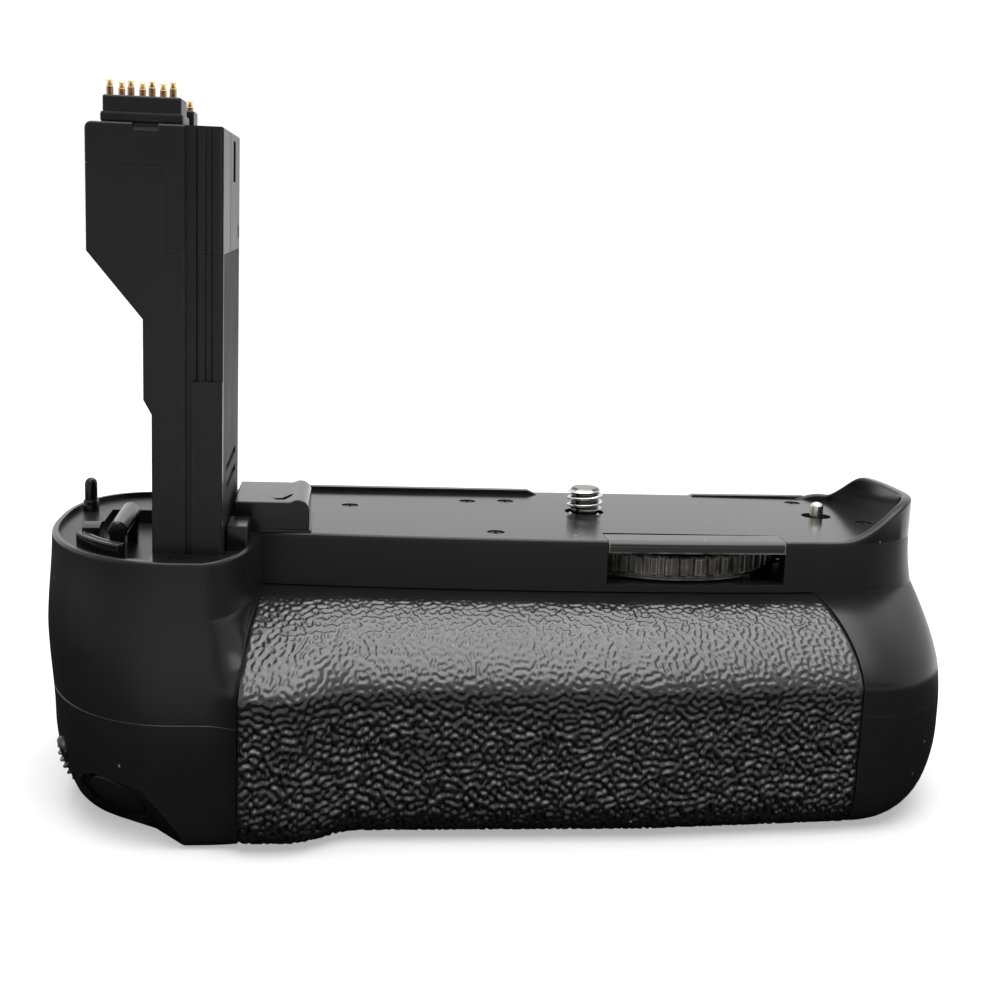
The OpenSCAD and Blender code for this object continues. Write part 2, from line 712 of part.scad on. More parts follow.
module tower_slab(y0, y1) {
    translate([0, y1, 0]) rotate([90, 0, 0]) linear_extrude(y1 - y0) children();
}

module tower_body() {
    color(black) difference() {
        tower_slab(tower_front, tower_rear) tower_profile(0);
        tower_slab(tower_front + tower_wall + face_step, tower_rear - tower_wall) tower_profile(tower_wall);
        // Opening of the right side, closed by its cover
        translate([tower_right - side_cover_thick, tower_front + tower_wall + face_step, tower_foot + tower_wall])
            cube([5, tower_depth - 2 * tower_wall - face_step, cap_joint - tower_foot]);
        // Groove beside the rail, and the step above it
        translate([groove_x, tower_front - 1, tower_foot - 1])
            cube([rail_x - groove_x, 1 + 0.8, cap_joint - tower_foot + 2]);
        translate([groove_x, tower_front - 1, rail_top]) cube([10, 1 + face_step, 40]);
    }
}

module tower_head_cap() {
    inner_front = tower_front + tower_wall + face_step;
    color(black) difference() {
        tower_slab(tower_front, tower_rear) {
            translate([head_left, cap_line + fit]) square([head_width, tower_height - cap_line - fit]);
            translate([cap_left + fit, cap_joint + fit])
                square([tower_right - cap_left - fit, tower_height - cap_joint - fit]);
        }
        tower_slab(inner_front, tower_rear - tower_wall) {
            translate([head_left + tower_wall, cap_line - 1])
                square([head_width - 2 * tower_wall, tower_height - cap_line - tower_wall + 1]);
            translate([cap_left + tower_wall, cap_joint - 1])
                square([tower_right - cap_left - 2 * tower_wall, tower_height - cap_joint - tower_wall + 1]);
        }
        translate([groove_x, tower_front - 1, cap_joint - 1]) cube([10, 1 + face_step, 40]);
        for (x = [0.9, 2.9]) translate([groove_x + x, tower_front - 1, cap_joint - 1]) cube([0.35, 1.5 + face_step, 40]);
        // Slots in the right side and the notch in the front edge
        translate([tower_right - 0.5, tower_rear - 14, 50]) cube([2, 5, 8]);
        translate([tower_right - 0.5, tower_rear - 4, 46.5]) cube([2, 2, 2]);
        translate([head_left + 6.6, tower_front - 1, tower_height - 0.8]) cube([3.8, 1.8, 2]);
        for (p = contact_spots) translate([p.x, p.y, tower_height - 5]) cylinder(r = contact_d / 2 + fit, h = 10);
        for (p = step_spots) translate([p.x, p.y, tower_height - 5]) cylinder(r = contact_d / 2 + fit, h = 10);
    }
}

module tower_side_cover() {
    color(black) translate([tower_right - side_cover_thick, tower_front + tower_wall + face_step + fit,
        tower_foot + tower_wall + fit])
        cube([side_cover_thick, tower_depth - 2 * tower_wall - face_step - 2 * fit,
            cap_joint - tower_foot - tower_wall - 2 * fit]);
}

tower_board_x = cap_left + tower_wall + 0.6;
module tower_board() {
    front = tower_front + tower_wall + face_step + 0.3;
    color(board_green) translate([tower_board_x, front, tower_foot + tower_wall + 0.2])
        cube([1, tower_rear - tower_wall - 0.3 - front, cap_line - tower_foot - tower_wall - 0.2]);
}

// Contact block on the head, in two tiers, with staggered rows of spring pins
block_front = tower_front + 2;
block_tiers = [[head_left + 1.9, tower_right - 5.9, 9, 1.6],
    [head_left + 2.2, tower_right - 6.2, 8, 1.9]];
block_top = tower_height + block_tiers[0][3] + block_tiers[1][3];
row_y = [block_front + 2.2, block_front + 6.2];
contact_pitch = 3;
contact_spots = concat(
    [for (i = [0 : 3]) [head_left + 3.05 + contact_pitch * i, row_y[0]]],
    [for (i = [0 : 2]) [head_left + 4.2 + contact_pitch * i, row_y[1]]]);
step_box = [[tower_right - 10, -19], [tower_right - 5.9, -13]];
step_height = 3;
step_spots = [[tower_right - 8.6, -16], [tower_right - 6.8, -16]];

module contact_block() {
    color(black) difference() {
        union() {
            translate([block_tiers[0][0], block_front, tower_height])
                cube([block_tiers[0][1] - block_tiers[0][0], block_tiers[0][2], block_tiers[0][3]]);
            translate([block_tiers[1][0], block_front + 0.5, tower_height + block_tiers[0][3]])
                cube([block_tiers[1][1] - block_tiers[1][0], block_tiers[1][2], block_tiers[1][3]]);
        }
        for (p = contact_spots) translate([p.x, p.y, tower_height - 1]) cylinder(r = contact_d / 2 + fit, h = 10);
    }
}

// A contact pin with its tail and rounded tip
module spring_pin(p, top) {
    translate([p.x, p.y, tower_height - 3.2]) cylinder(r = contact_d / 2, h = top + contact_rise - tower_height + 3.2);
    translate([p.x, p.y, top + contact_rise]) sphere(r = contact_d / 2);
    translate([p.x, p.y, top + contact_rise * 0.55]) cylinder(r = contact_d / 2 + 0.12, h = 0.5);
}

module contact_pins() {
    color(gold) for (p = contact_spots) spring_pin(p, block_top);
}

module step_block() {
    color(black) difference() {
        translate([step_box[0].x, step_box[0].y, tower_height])
            cube([step_box[1].x - step_box[0].x, step_box[1].y - step_box[0].y, step_height]);
        for (p = step_spots) translate([p.x, p.y, tower_height - 1]) cylinder(r = contact_d / 2 + fit, h = 10);
    }
}

module step_pins() {
    color(gold) for (p = step_spots) spring_pin(p, tower_height + step_height - 0.6);
}

// Base
socket_body_r = 6;
module tripod_socket() {
    color(brass) translate([0, 0, -body_height]) ring(socket_body_r, socket_d / 2, socket_depth);
}

module housing_screws() {
    color(steel) for (p = base_screw_spots) translate([p.x, p.y, -body_height + 0.5]) difference() {
        union() {
            cylinder(r = base_screw_r * 2, h = 1.7);
            cylinder(r = base_screw_r, h = body_height - 0.5 - seam_depth + base_screw_grip - 1);
        }
        for (a = [0, 90]) rotate(a) translate([-1.4, -0.25, -0.5]) cube([2.8, 0.5, 1.3]);
    }
}

// Battery chamber and magazine
module bay_frame() {
    front = bay_front - bay_wall;
    top = bay_top + bay_wall;
    color(black) difference() {
        translate([bay_left - bay_wall, 0, 0]) rotate([90, 0, 90]) linear_extrude(bay_size.x + 2 * bay_wall)
            polygon([[front, bay_bottom - bay_wall], [bay_rear, bay_bottom - bay_wall], [bay_rear, top],
                [front + bay_slope.x, top], [front, top - bay_slope.y]]);
        translate([bay_left, bay_front, bay_bottom]) cube([bay_size.x, 100, bay_size.z]);
        for (x = terminal_x) translate([x, bay_front - 5, terminal_z]) rotate([-90, 0, 0])
            cylinder(r = terminal_r + running / 5, h = 10);
    }
}

terminal_x = [for (i = [0 : 3]) -16 + 3 * i];
terminal_z = bay_bottom + 6;
terminal_r = 0.7;
main_board_thick = 1.2;
main_board_rear = bay_front - bay_wall - 0.3;
module bay_contacts() {
    color(gold) for (x = terminal_x) translate([x, main_board_rear, terminal_z]) rotate([-90, 0, 0])
        cylinder(r = terminal_r, h = bay_wall + 0.3 + bay_clear / 2);
}

module main_board() {
    color(board_green) {
        translate([-40, main_board_rear - main_board_thick, bay_bottom + 1])
            cube([60, main_board_thick, 20]);
        for (b = [[-32, 9, 8], [-12, 6, 12], [8, 8, 8]])
            translate([b[0], main_board_rear - main_board_thick - 1.4, bay_bottom + b[1]]) cube([b[2], 1.5, b[2]]);
    }
}

tray_lo = [bay_left + bay_clear, bay_front + bay_clear, bay_bottom + bay_clear];
tray_hi = [bay_right - bay_clear, bay_rear, bay_top - bay_clear];
pocket_gap = 0.25;
pad_thick = 0.6;
knob_pos = [34, (bay_bottom + bay_top) / 2];
knob_sink = 1.2;
knob_gap = 0.4;
knob_shaft_r = 2.5;
latch_length = 15.6;
latch_width = 5;

function battery_x(i) = tray_lo.x + tray_wall + pocket_gap + i * (battery_l + 2 * pocket_gap + 0.5);

module magazine_tray() {
    color(black) difference() {
        union() {
            translate(tray_lo) cube(tray_hi - tray_lo);
            translate(tray_lo) cube([tray_hi.x - tray_lo.x, door_front - tray_lo.y, tray_wall]);
        }
        for (i = [0, 1]) translate([battery_x(i) - pocket_gap, tray_lo.y + tray_wall, tray_lo.z + tray_wall])
            cube([battery_l + 2 * pocket_gap, 100, 100]);
        for (x = terminal_x) translate([x - 1, tray_lo.y - 1, terminal_z - 1.5]) cube([2, pad_thick + 1, 3]);
    }
}

module magazine_contacts() {
    color(gold) for (x = terminal_x) translate([x - 0.95, tray_lo.y, terminal_z - 1.45]) cube([1.9, pad_thick, 2.9]);
}

module battery(i) {
    color("#2b2c2f") translate([battery_x(i), tray_lo.y + tray_wall + pocket_gap, tray_lo.z + tray_wall + 0.1])
        difference() {
            translate([0, battery_w, 0]) rotate([90, 0, 0]) linear_extrude(battery_w) difference() {
                square([battery_l, battery_h]);
                for (x = [0, battery_l]) translate([x, battery_h]) rotate(45) square(2.4, center = true);
            }
            for (n = [0 : 3]) translate([6 + 3 * n, -1, 4]) cube([1.4, 3, 8]);
        }
}
module left_battery() { battery(0); }
module right_battery() { battery(1); }

module magazine_door() {
    color(black) difference() {
        translate([0, door_front, 0]) rounded_plate(door_box[0], door_box[1], 3 - door_gap, door_thick);
        knob_axis() cylinder(r = knob_r + knob_gap, h = knob_sink + 1);
        knob_axis() translate([0, 0, -20]) cylinder(r = knob_shaft_r + running, h = 40);
    }
}

// Axis of the knob: its own Z runs out of the door, from the floor of the knob's recess
module knob_axis() {
    translate([knob_pos.x, rear_reach - knob_sink, knob_pos.y]) rotate([-90, 0, 0]) children();
}

module release_knob() {
    color(black) knob_axis() {
        difference() {
            translate([0, 0, 0.1]) cylinder(r = knob_r, h = knob_sink + 0.4);
            for (a = [0, 180]) rotate(a) translate([0, knob_r * 0.62, knob_sink - 0.4]) cylinder(r = 3, h = 5);
        }
        translate([-knob_r + 0.8, -1.4, 0.5]) cube([2 * knob_r - 1.6, 2.8, knob_sink + 1.2]);
        translate([0, 0, -(door_thick - knob_sink) - latch_thick - 0.3])
            cylinder(r = knob_shaft_r, h = door_thick - knob_sink + latch_thick + 0.5);
    }
}

module latch_tongue() {
    color(steel) knob_axis() translate([0, 0, -(door_thick - knob_sink) - latch_thick - 0.2]) difference() {
        union() {
            cylinder(r = knob_shaft_r + 1.5, h = latch_thick);
            translate([-latch_length, -latch_width / 2, 0]) cube([latch_length, latch_width, latch_thick]);
        }
        translate([0, 0, -1]) cylinder(r = knob_shaft_r, h = 5);
    }
}

// Release button on the control shoulder
module shutter_button() {
    color(gloss_black) along(shutter_pos, shutter_dir) {
        rotate_extrude() polygon(concat(
            [[0, -2.8], [shutter_r, -2.8], [shutter_r, -0.5]],
            [for (a = [10 : 10 : 90]) [shutter_r * cos(a), -0.5 + 0.9 * sin(a)]]));
        translate([0, 0, -5]) cylinder(r = 1.5, h = 3);
    }
}

// Barrel of the button: its mouth fills the hole, its foot stands on the control board
module shutter_ring() {
    color(black) along(shutter_pos, shutter_dir) translate([0, 0, -control_board_top])
        ring(shutter_r + barrel_wall - running, shutter_r + button_gap, control_board_top - ring_sink);
}

module shutter_switch() {
    color(black) along(shutter_pos, shutter_dir) {
        translate([-3, -3, -control_board_top]) cube([6, 6, 2]);
        translate([0, 0, -control_board_top]) cylinder(r = 1.4, h = control_board_top - 5 - shutter_travel - 0.15);
    }
}

module control_board() {
    color(board_green) along(shutter_pos, shutter_dir)
        translate([-8, -5.5, -control_board_top - 1]) cube([16, 11, 1]);
}

module command_dial() {
    color(black) dial_axis() difference() {
        translate([0, 0, -dial_width / 2]) linear_extrude(dial_width)
            toothed(dial_teeth, dial_r - 0.6, dial_r, 0.75, 0.3);
        cylinder(r = axle_r + running, h = 20, center = true);
        for (z = [-1, 1]) translate([0, 0, z * dial_width / 2]) ring_cut();
    }
}
module ring_cut() {
    difference() {
        cylinder(r = dial_r - 2, h = 2, center = true);
        cylinder(r = axle_r + 1.4, h = 3, center = true);
    }
}

module dial_axle() {
    color(steel) dial_axis() cylinder(r = axle_r, h = axle_length, center = true);
}

function_travel = 0.8;
module function_button() {
    color(black) along(function_pos, function_dir) {
        translate([0, 0, -3]) cylinder(r = function_r, h = 3.2);
        translate([0, 0, 0.2]) cylinder(r1 = function_r, r2 = function_r - 0.5, h = 0.5);
    }
}

module function_switch() {
    color(black) along(function_pos, function_dir) translate([-2, -2, -3.2 - function_travel - 1.8]) cube([4, 4, 1.8]);
}

// Controls on the back of the control end
rear_travel = 0.8;
module rear_button(z) {
    color(black) translate([button_x, 0, z]) rotate([-90, 0, 0]) {
        translate([0, 0, rear_reach - button_depth]) {
            cylinder(r = rear_button_r, h = button_depth + 0.3);
            cylinder(r = rear_button_r + 0.6, h = button_flange);
        }
        translate([0, 0, rear_reach + 0.3]) cylinder(r1 = rear_button_r, r2 = rear_button_r - 0.4, h = 0.4);
    }
}
module upper_rear_button() { rear_button(button_levels[0]); }
module middle_rear_button() { rear_button(button_levels[1]); }
module lower_rear_button() { rear_button(button_levels[2]); }

module rear_button_board() {
    foot = lever_pos.y - 3.3;
    color(board_green) translate([button_x + board_post_x[0] - 0.6, board_rear - 1.2, foot])
        cube([board_post_x[1] - board_post_x[0] + 1.6, 1.2, button_levels[0] + 3 - foot]);
}

module rear_switches() {
    color(black) for (z = button_levels) translate([button_x - 1.6, board_rear, z - 1.6])
        cube([3.2, rear_reach - button_depth - rear_travel - 0.2 - board_rear, 3.2]);
}

lever_shaft_r = 1.6;
lever_depth = 5;
module power_lever() {
    color(black) translate([lever_pos.x, rear_reach, lever_pos.y]) rotate([-90, 0, 0]) {
        translate([0, 0, 0.2]) cylinder(r = lever_r, h = 1.2);
        translate([-lever_r - 1.2, -0.8, 0.3]) cube([lever_r + 1.2, 1.6, 1.8]);
        translate([0, 0, -lever_depth]) cylinder(r = lever_shaft_r, h = lever_depth + 0.4);
    }
}

module power_switch() {
    color(black) translate([lever_pos.x - 2, board_rear, lever_pos.y - 2])
        cube([4, rear_reach - lever_depth - 0.3 - board_rear, 4]);
}

upper_housing();
lower_housing();
front_rubber();
cover_holder();
wheel_trim();
cover_screws();
wheel_retainer();
retainer_screws();
screw_bush();
locating_pin();
guide_peg();
hinge_bar();
tower_body();
tower_head_cap();
tower_side_cover();
tower_board();
contact_block();
contact_pins();
step_block();
step_pins();
attachment_wheel();
camera_screw();
screw_gear();
screw_clip();
tripod_socket();
housing_screws();
bay_frame();
bay_contacts();
main_board();
magazine_tray();
magazine_door();
left_battery();
right_battery();
magazine_contacts();
release_knob();
latch_tongue();
shutter_button();
shutter_ring();
shutter_switch();
control_board();
command_dial();
dial_axle();
function_button();
function_switch();
upper_rear_button();
middle_rear_button();
lower_rear_button();
rear_button_board();
rear_switches();
power_lever();
power_switch();
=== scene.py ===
# Looks of a vertical battery grip for a camera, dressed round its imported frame.
import math

import bmesh
import bpy
import numpy as np
from mathutils import Matrix, Vector


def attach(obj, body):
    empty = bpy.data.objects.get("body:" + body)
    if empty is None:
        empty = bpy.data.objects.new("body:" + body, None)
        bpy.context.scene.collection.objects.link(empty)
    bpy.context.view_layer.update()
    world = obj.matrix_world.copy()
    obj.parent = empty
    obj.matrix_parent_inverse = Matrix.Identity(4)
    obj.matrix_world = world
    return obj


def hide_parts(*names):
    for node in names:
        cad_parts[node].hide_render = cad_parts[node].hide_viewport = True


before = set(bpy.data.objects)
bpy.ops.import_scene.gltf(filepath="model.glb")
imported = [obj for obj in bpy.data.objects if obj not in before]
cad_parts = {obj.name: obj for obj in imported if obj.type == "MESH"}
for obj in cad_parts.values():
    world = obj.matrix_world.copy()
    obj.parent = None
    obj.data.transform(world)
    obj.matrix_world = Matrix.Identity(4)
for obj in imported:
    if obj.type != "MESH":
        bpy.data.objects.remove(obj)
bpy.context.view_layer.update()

# Camera
# A plain lens stands low before the grip, to the left of its screw, and looks down at it.
# Its place and turns bring the grip's edges to where the photograph has them.
MM = 0.001
camera_place = Vector((-44.63, -262.16, 52.72)) * MM
camera_yaw = math.radians(6.378)
camera_pitch = math.radians(10.921)
camera_roll = math.radians(2.281)
lens_length = 54
film_width = 36


def camera_turn(yaw, pitch, roll):
    """Right, up and back of a camera that is turned by yaw, dipped by pitch and tilted by roll."""
    level = math.cos(pitch)
    ahead = Vector((math.sin(yaw) * level, math.cos(yaw) * level, -math.sin(pitch)))
    right = Vector((math.cos(yaw), -math.sin(yaw), 0))
    up = right.cross(ahead)
    tilted_right = right * math.cos(roll) + up * math.sin(roll)
    tilted_up = up * math.cos(roll) - right * math.sin(roll)
    return Matrix((tilted_right, tilted_up, -ahead)).transposed()


camera_data = bpy.data.cameras.new("camera")
camera_data.lens = lens_length
camera_data.sensor_width = film_width
camera_data.clip_start = 0.01
camera = bpy.data.objects.new("camera", camera_data)
camera.matrix_world = (Matrix.Translation(camera_place)
                       @ camera_turn(camera_yaw, camera_pitch, camera_roll).to_4x4())
bpy.context.collection.objects.link(camera)
bpy.context.scene.camera = camera
bpy.context.scene.view_settings.view_transform = "Standard"

# Studio
# A pale sweep of card under the grip, a white room round it and one wide soft lamp overhead.
# The room is white to the eye and in reflections, and gives less light than that to matt faces.
# One dark flag lies on the card round the grip and one stands behind the lens; only reflections show them.
floor_level = -44.1 * MM
floor_reach = 4.0
floor_tone = (0.68, 0.72)
floor_white = 0.88
lamp_share = 0.5
room_fill = 0.22
lamp_size = (0.6, 0.9)
lamp_place = Vector((0.0, -0.05, 0.5))
lamp_power = 5.6
flag_tone = (0.015, 0.9)
flag_fade = (-0.15, -0.3)
flag_low = (-0.42, -0.32)
flag_high = (0.3, 0.05)
flag_wing = (-0.1, 0.3)
flag_margin = 0.01
flag_lift = 0.05 * MM
screen_reach = 0.9
screen_place = -0.5
screen_span = (0.06, 0.17)


def place(tree, kind, inputs=None, **settings):
    """A shader node: settings are its properties, inputs its sockets, as a value or an output to link."""
    made = tree.nodes.new("ShaderNode" + kind)
    for name, value in settings.items():
        setattr(made, name, value)
    for name, value in (inputs or {}).items():
        if isinstance(value, bpy.types.NodeSocket):
            tree.links.new(value, made.inputs[name])
        else:
            made.inputs[name].default_value = value
    return made


def math_node(tree, operation, first, second=0.0):
    """Output of a math node with two inputs."""
    return place(tree, "Math", {0: first, 1: second}, operation=operation).outputs[0]


def seen_directly(tree):
    """1 for rays from the eye, from a reflection or through glass, 0 for light on matt faces."""
    path = place(tree, "LightPath").outputs
    shown = math_node(tree, "ADD", path["Is Camera Ray"], path["Is Glossy Ray"])
    return math_node(tree, "MINIMUM", math_node(tree, "ADD", shown, path["Is Transmission Ray"]), 1.0)


def light_room():
    """World that is white where it is seen and dimmer as a source of light."""
    world = bpy.data.worlds.new("room")
    world.use_nodes = True
    tree = world.node_tree
    tree.nodes.clear()
    strength = place(tree, "MapRange", {"Value": seen_directly(tree), "To Min": room_fill, "To Max": 1.0})
    room = place(tree, "Background", {"Color": (1, 1, 1, 1), "Strength": strength.outputs[0]})
    place(tree, "OutputWorld", {"Surface": room.outputs[0]})
    bpy.context.scene.world = world


def floor_card():
    """Matt card that keeps the shadow.
    Where it is seen, it is lifted by what the lamp lacks far from its foot."""
    card = bpy.data.materials.new("floor_card")
    card.use_nodes = True
    tree = card.node_tree
    tree.nodes.clear()
    fibre = place(tree, "TexNoise", {"Scale": 60.0, "Detail": 4.0})
    tone = place(tree, "MapRange", {"Value": fibre.outputs[0],
                                    "To Min": floor_tone[0], "To Max": floor_tone[1]})
    matt = place(tree, "BsdfDiffuse", {"Color": tone.outputs[0]})
    where = place(tree, "TexCoord").outputs["Object"]
    flat = place(tree, "VectorMath", {0: where, 1: (1, 1, 0)}, operation="MULTIPLY").outputs[0]
    reach = place(tree, "VectorMath", {0: flat, 1: flat}, operation="DOT_PRODUCT").outputs["Value"]
    spread = math_node(tree, "ADD", math_node(tree, "DIVIDE", reach, (lamp_place.z - floor_level) ** 2), 1.0)
    lit = math_node(tree, "DIVIDE", lamp_share, math_node(tree, "MULTIPLY", spread, spread))
    lift = math_node(tree, "SUBTRACT", floor_white, lit)
    glow = place(tree, "Emission", {"Strength": math_node(tree, "MULTIPLY", seen_directly(tree), lift)})
    both = place(tree, "AddShader", {0: matt.outputs[0], 1: glow.outputs[0]})
    place(tree, "OutputMaterial", {"Surface": both.outputs[0]})
    return card


def lay_floor():
    """Flat square below the grip."""
    corners = [(-1, -1), (1, -1), (1, 1), (-1, 1)]
    mesh = bpy.data.meshes.new("floor")
    points = [(x * floor_reach, y * floor_reach, floor_level) for x, y in corners]
    mesh.from_pydata(points, [], [(0, 1, 2, 3)])
    mesh.materials.append(floor_card())
    floor = bpy.data.objects.new("floor", mesh)
    bpy.context.collection.objects.link(floor)


def lay_flags():
    """Dark cards that no ray but a reflection meets.
    One lies on the floor, paler far before the grip, and one stands upright."""
    finish = bpy.data.materials.new("dark_flag")
    finish.use_nodes = True
    tree = finish.node_tree
    tree.nodes.clear()
    ahead = place(tree, "SeparateXYZ", {0: place(tree, "TexCoord").outputs["Object"]}).outputs[1]
    fade = place(tree, "MapRange", {"Value": ahead, "From Min": flag_fade[0],
                                    "From Max": flag_fade[1]}).outputs[0]
    near = math_node(tree, "GREATER_THAN", ahead, flag_low[1] - flag_margin)
    tone = place(tree, "MapRange", {"Value": math_node(tree, "MULTIPLY", fade, near),
                                    "To Min": flag_tone[0], "To Max": flag_tone[1]})
    matt = place(tree, "BsdfDiffuse", {"Color": tone.outputs[0]})
    place(tree, "OutputMaterial", {"Surface": matt.outputs[0]})
    corners = [flag_low, (flag_high[0], flag_low[1]), flag_high, (flag_wing[0], flag_high[1]),
               flag_wing, (flag_low[0], flag_wing[1])]
    lying = [(x, y, floor_level + flag_lift) for x, y in corners]
    upright = [(x, screen_place, z) for z in screen_span for x in (-screen_reach, screen_reach)]
    mesh = bpy.data.meshes.new("dark_flags")
    mesh.from_pydata(lying + upright, [], [(0, 1, 2, 3, 4, 5), (6, 8, 9, 7)])
    mesh.materials.append(finish)
    flags = bpy.data.objects.new("dark_flags", mesh)
    flags.visible_camera = False
    flags.visible_diffuse = False
    flags.visible_transmission = False
    flags.visible_shadow = False
    bpy.context.collection.objects.link(flags)


def hang_lamp():
    """One rectangular lamp that shines straight down."""
    lamp_data = bpy.data.lights.new("soft_lamp", "AREA")
    lamp_data.shape = "RECTANGLE"
    lamp_data.size = lamp_size[0]
    lamp_data.size_y = lamp_size[1]
    lamp_data.energy = lamp_power
    lamp = bpy.data.objects.new("soft_lamp", lamp_data)
    lamp.location = lamp_place
    bpy.context.collection.objects.link(lamp)


light_room()
lay_floor()
lay_flags()
hang_lamp()

# Upper housing
# The upper half of the moulded body: control end with its rim, plain band, and a lip at the right.
# It is one injection moulding in fine-sparked black plastic, hollow, closed from below by the lower half.
body_left = 91.0
body_right = 61.0
body_height = 44.0
band_front = 24.3
band_height = 8.7
grip_front = 44.5
bulge_front = 44.0
rear_reach = 20.0
seam_depth = 24.2
shell_wall = 2.2
rubber_thick = 1.6
rubber_proud = 0.4
rubber_seat = rubber_thick - rubber_proud
lip_height = 6.2
lip_wall = 1.8
shoulder_height = 11.3
shoulder_power = 1.7
shoulder_hollow = 0.12
corner_x = -64.5
left_centre = (-body_left + 23, -14.0)
rear_left_x = -body_left + 17
rear_step_x = -54.0
right_centre_y = -8.0
rear_right_x = body_right - 17.5
band_right_inset = 4.4
bulge_rim_rear = rear_reach - 8
edge_round = 0.5
quarter_steps = 36
field_steps = 90
seam_groove = 0.16
seam_end = (10.0, 36.0)
tower_right = -61.6
tower_left = tower_right - 10.4
tower_front = -bulge_front + 6.6
tower_depth = 36.0
tower_rear = tower_front + tower_depth
tower_foot = -9.0
well_floor = -0.9
pit_floor = -3.2
well_x = (-body_left + 8, tower_right + 0.2)
rim_wall = 1.0
screw_radius = 3.175
wheel_pos = (13.3, -3.681)
wheel_r = 20.0
wheel_top = -2.8
slot_x = (0.2, 30.6)
slot_bottom = -7.3
pin_pos = (43.0, -0.3)
sill_top = -0.15
cover_screw_spots = [(-20.5, 7.8, 0), (-17.9, -18.7, 0), (-13.4, 8.5, 0), (42.2, 12.0, 0), (-42.0, 2.1, 0),
                     (50.0, -5.9, 0), (-67.9, -39.8, sill_top)]
cover_screw_r = 1.4
door_lo = (-72.7, -37.9)
door_hi = (48.1, -12.6)
door_gap = 0.3
button_x = -body_left + 13.5
button_levels = (-seam_depth + 12.2, -seam_depth + 5.4, -seam_depth - 5)
button_hole_r = 2.85
black = (0.0085, 0.0085, 0.009, 1)
# Paler colour of rubbed edges on black plastic; it is also a painted highlight along those edges.
worn_highlit_black = (0.035, 0.035, 0.036, 1)
dust_grey = (0.22, 0.22, 0.21, 1)


def smooth(t):
    """Ease from 0 to 1 over t from 0 to 1."""
    t = np.clip(t, 0, 1)
    return t * t * (3 - 2 * t)


def shoulder_curve(t):
    """Superellipse quarter from 0 to 1."""
    return (1 - (1 - t) ** shoulder_power) ** (1 / shoulder_power)


def shoulder(z, hollow=0.0):
    """Share of the way from the band to the hand rest at a level, hollowed at its top if asked."""
    t = np.clip((-z - band_height) / shoulder_height, 0, 1)
    return shoulder_curve(np.clip((1 + hollow) * t * t / (t + hollow + 1e-9), 0, 1))


def base_round(z, radius):
    """How far a quarter round at the base draws the wall in at a level."""
    t = np.clip((-z - body_height + radius) / radius, 0, 1)
    return radius * (1 - np.sqrt(1 - t * t))


def top_round(z, radius):
    """How far a quarter round at the top draws the wall in at a level."""
    t = np.clip((z + radius) / radius, 0, 1)
    return radius * (1 - np.sqrt(1 - t * t))


def left_x(z):
    """Left end of the body at a level: drafted rim, taper and round base."""
    return (-body_left + 0.8 * smooth(1 + z / 15) + 1.1 * smooth((-z - 14) / 16)
            + 0.62 * base_round(z, 15.0))


def right_x(z):
    """Right end of the body at a level: it flares below the band and rounds at the base."""
    return body_right - band_right_inset * (1 - smooth(-z / 27)) - 0.75 * base_round(z, 14.0)


def bulge_y(z):
    """Front of the control end at a level."""
    return -bulge_front - 2.5 * smooth(-z / 30) + base_round(z, 2.5)


def band_y(x):
    """Front of the plain band: a shallow bow."""
    return -band_front + 2.4 * (x / 50) ** 2


def hand_y(x):
    """Front of the hand rest: it tapers to the right and swells at the finger rest on the left."""
    return -grip_front + 2.7 * np.maximum(0, (x - 5) / 34) - 5 * smooth((-40 - x) / 11)


def front_y(x, z, wall=0.0, hollow=0.0):
    """Front of the body, from the band over the shoulder to the hand rest and round its base."""
    share = shoulder(z + wall, hollow)
    return band_y(x) + (hand_y(x) - band_y(x)) * share + base_round(z, 7.0) + wall


def rubber_left(z):
    """Left edge of the rubber at a level."""
    return -56.5 - 2 * shoulder(z)


def rubber_right(z):
    """Right edge of the rubber at a level."""
    return 36 + 3.4 * shoulder(z)


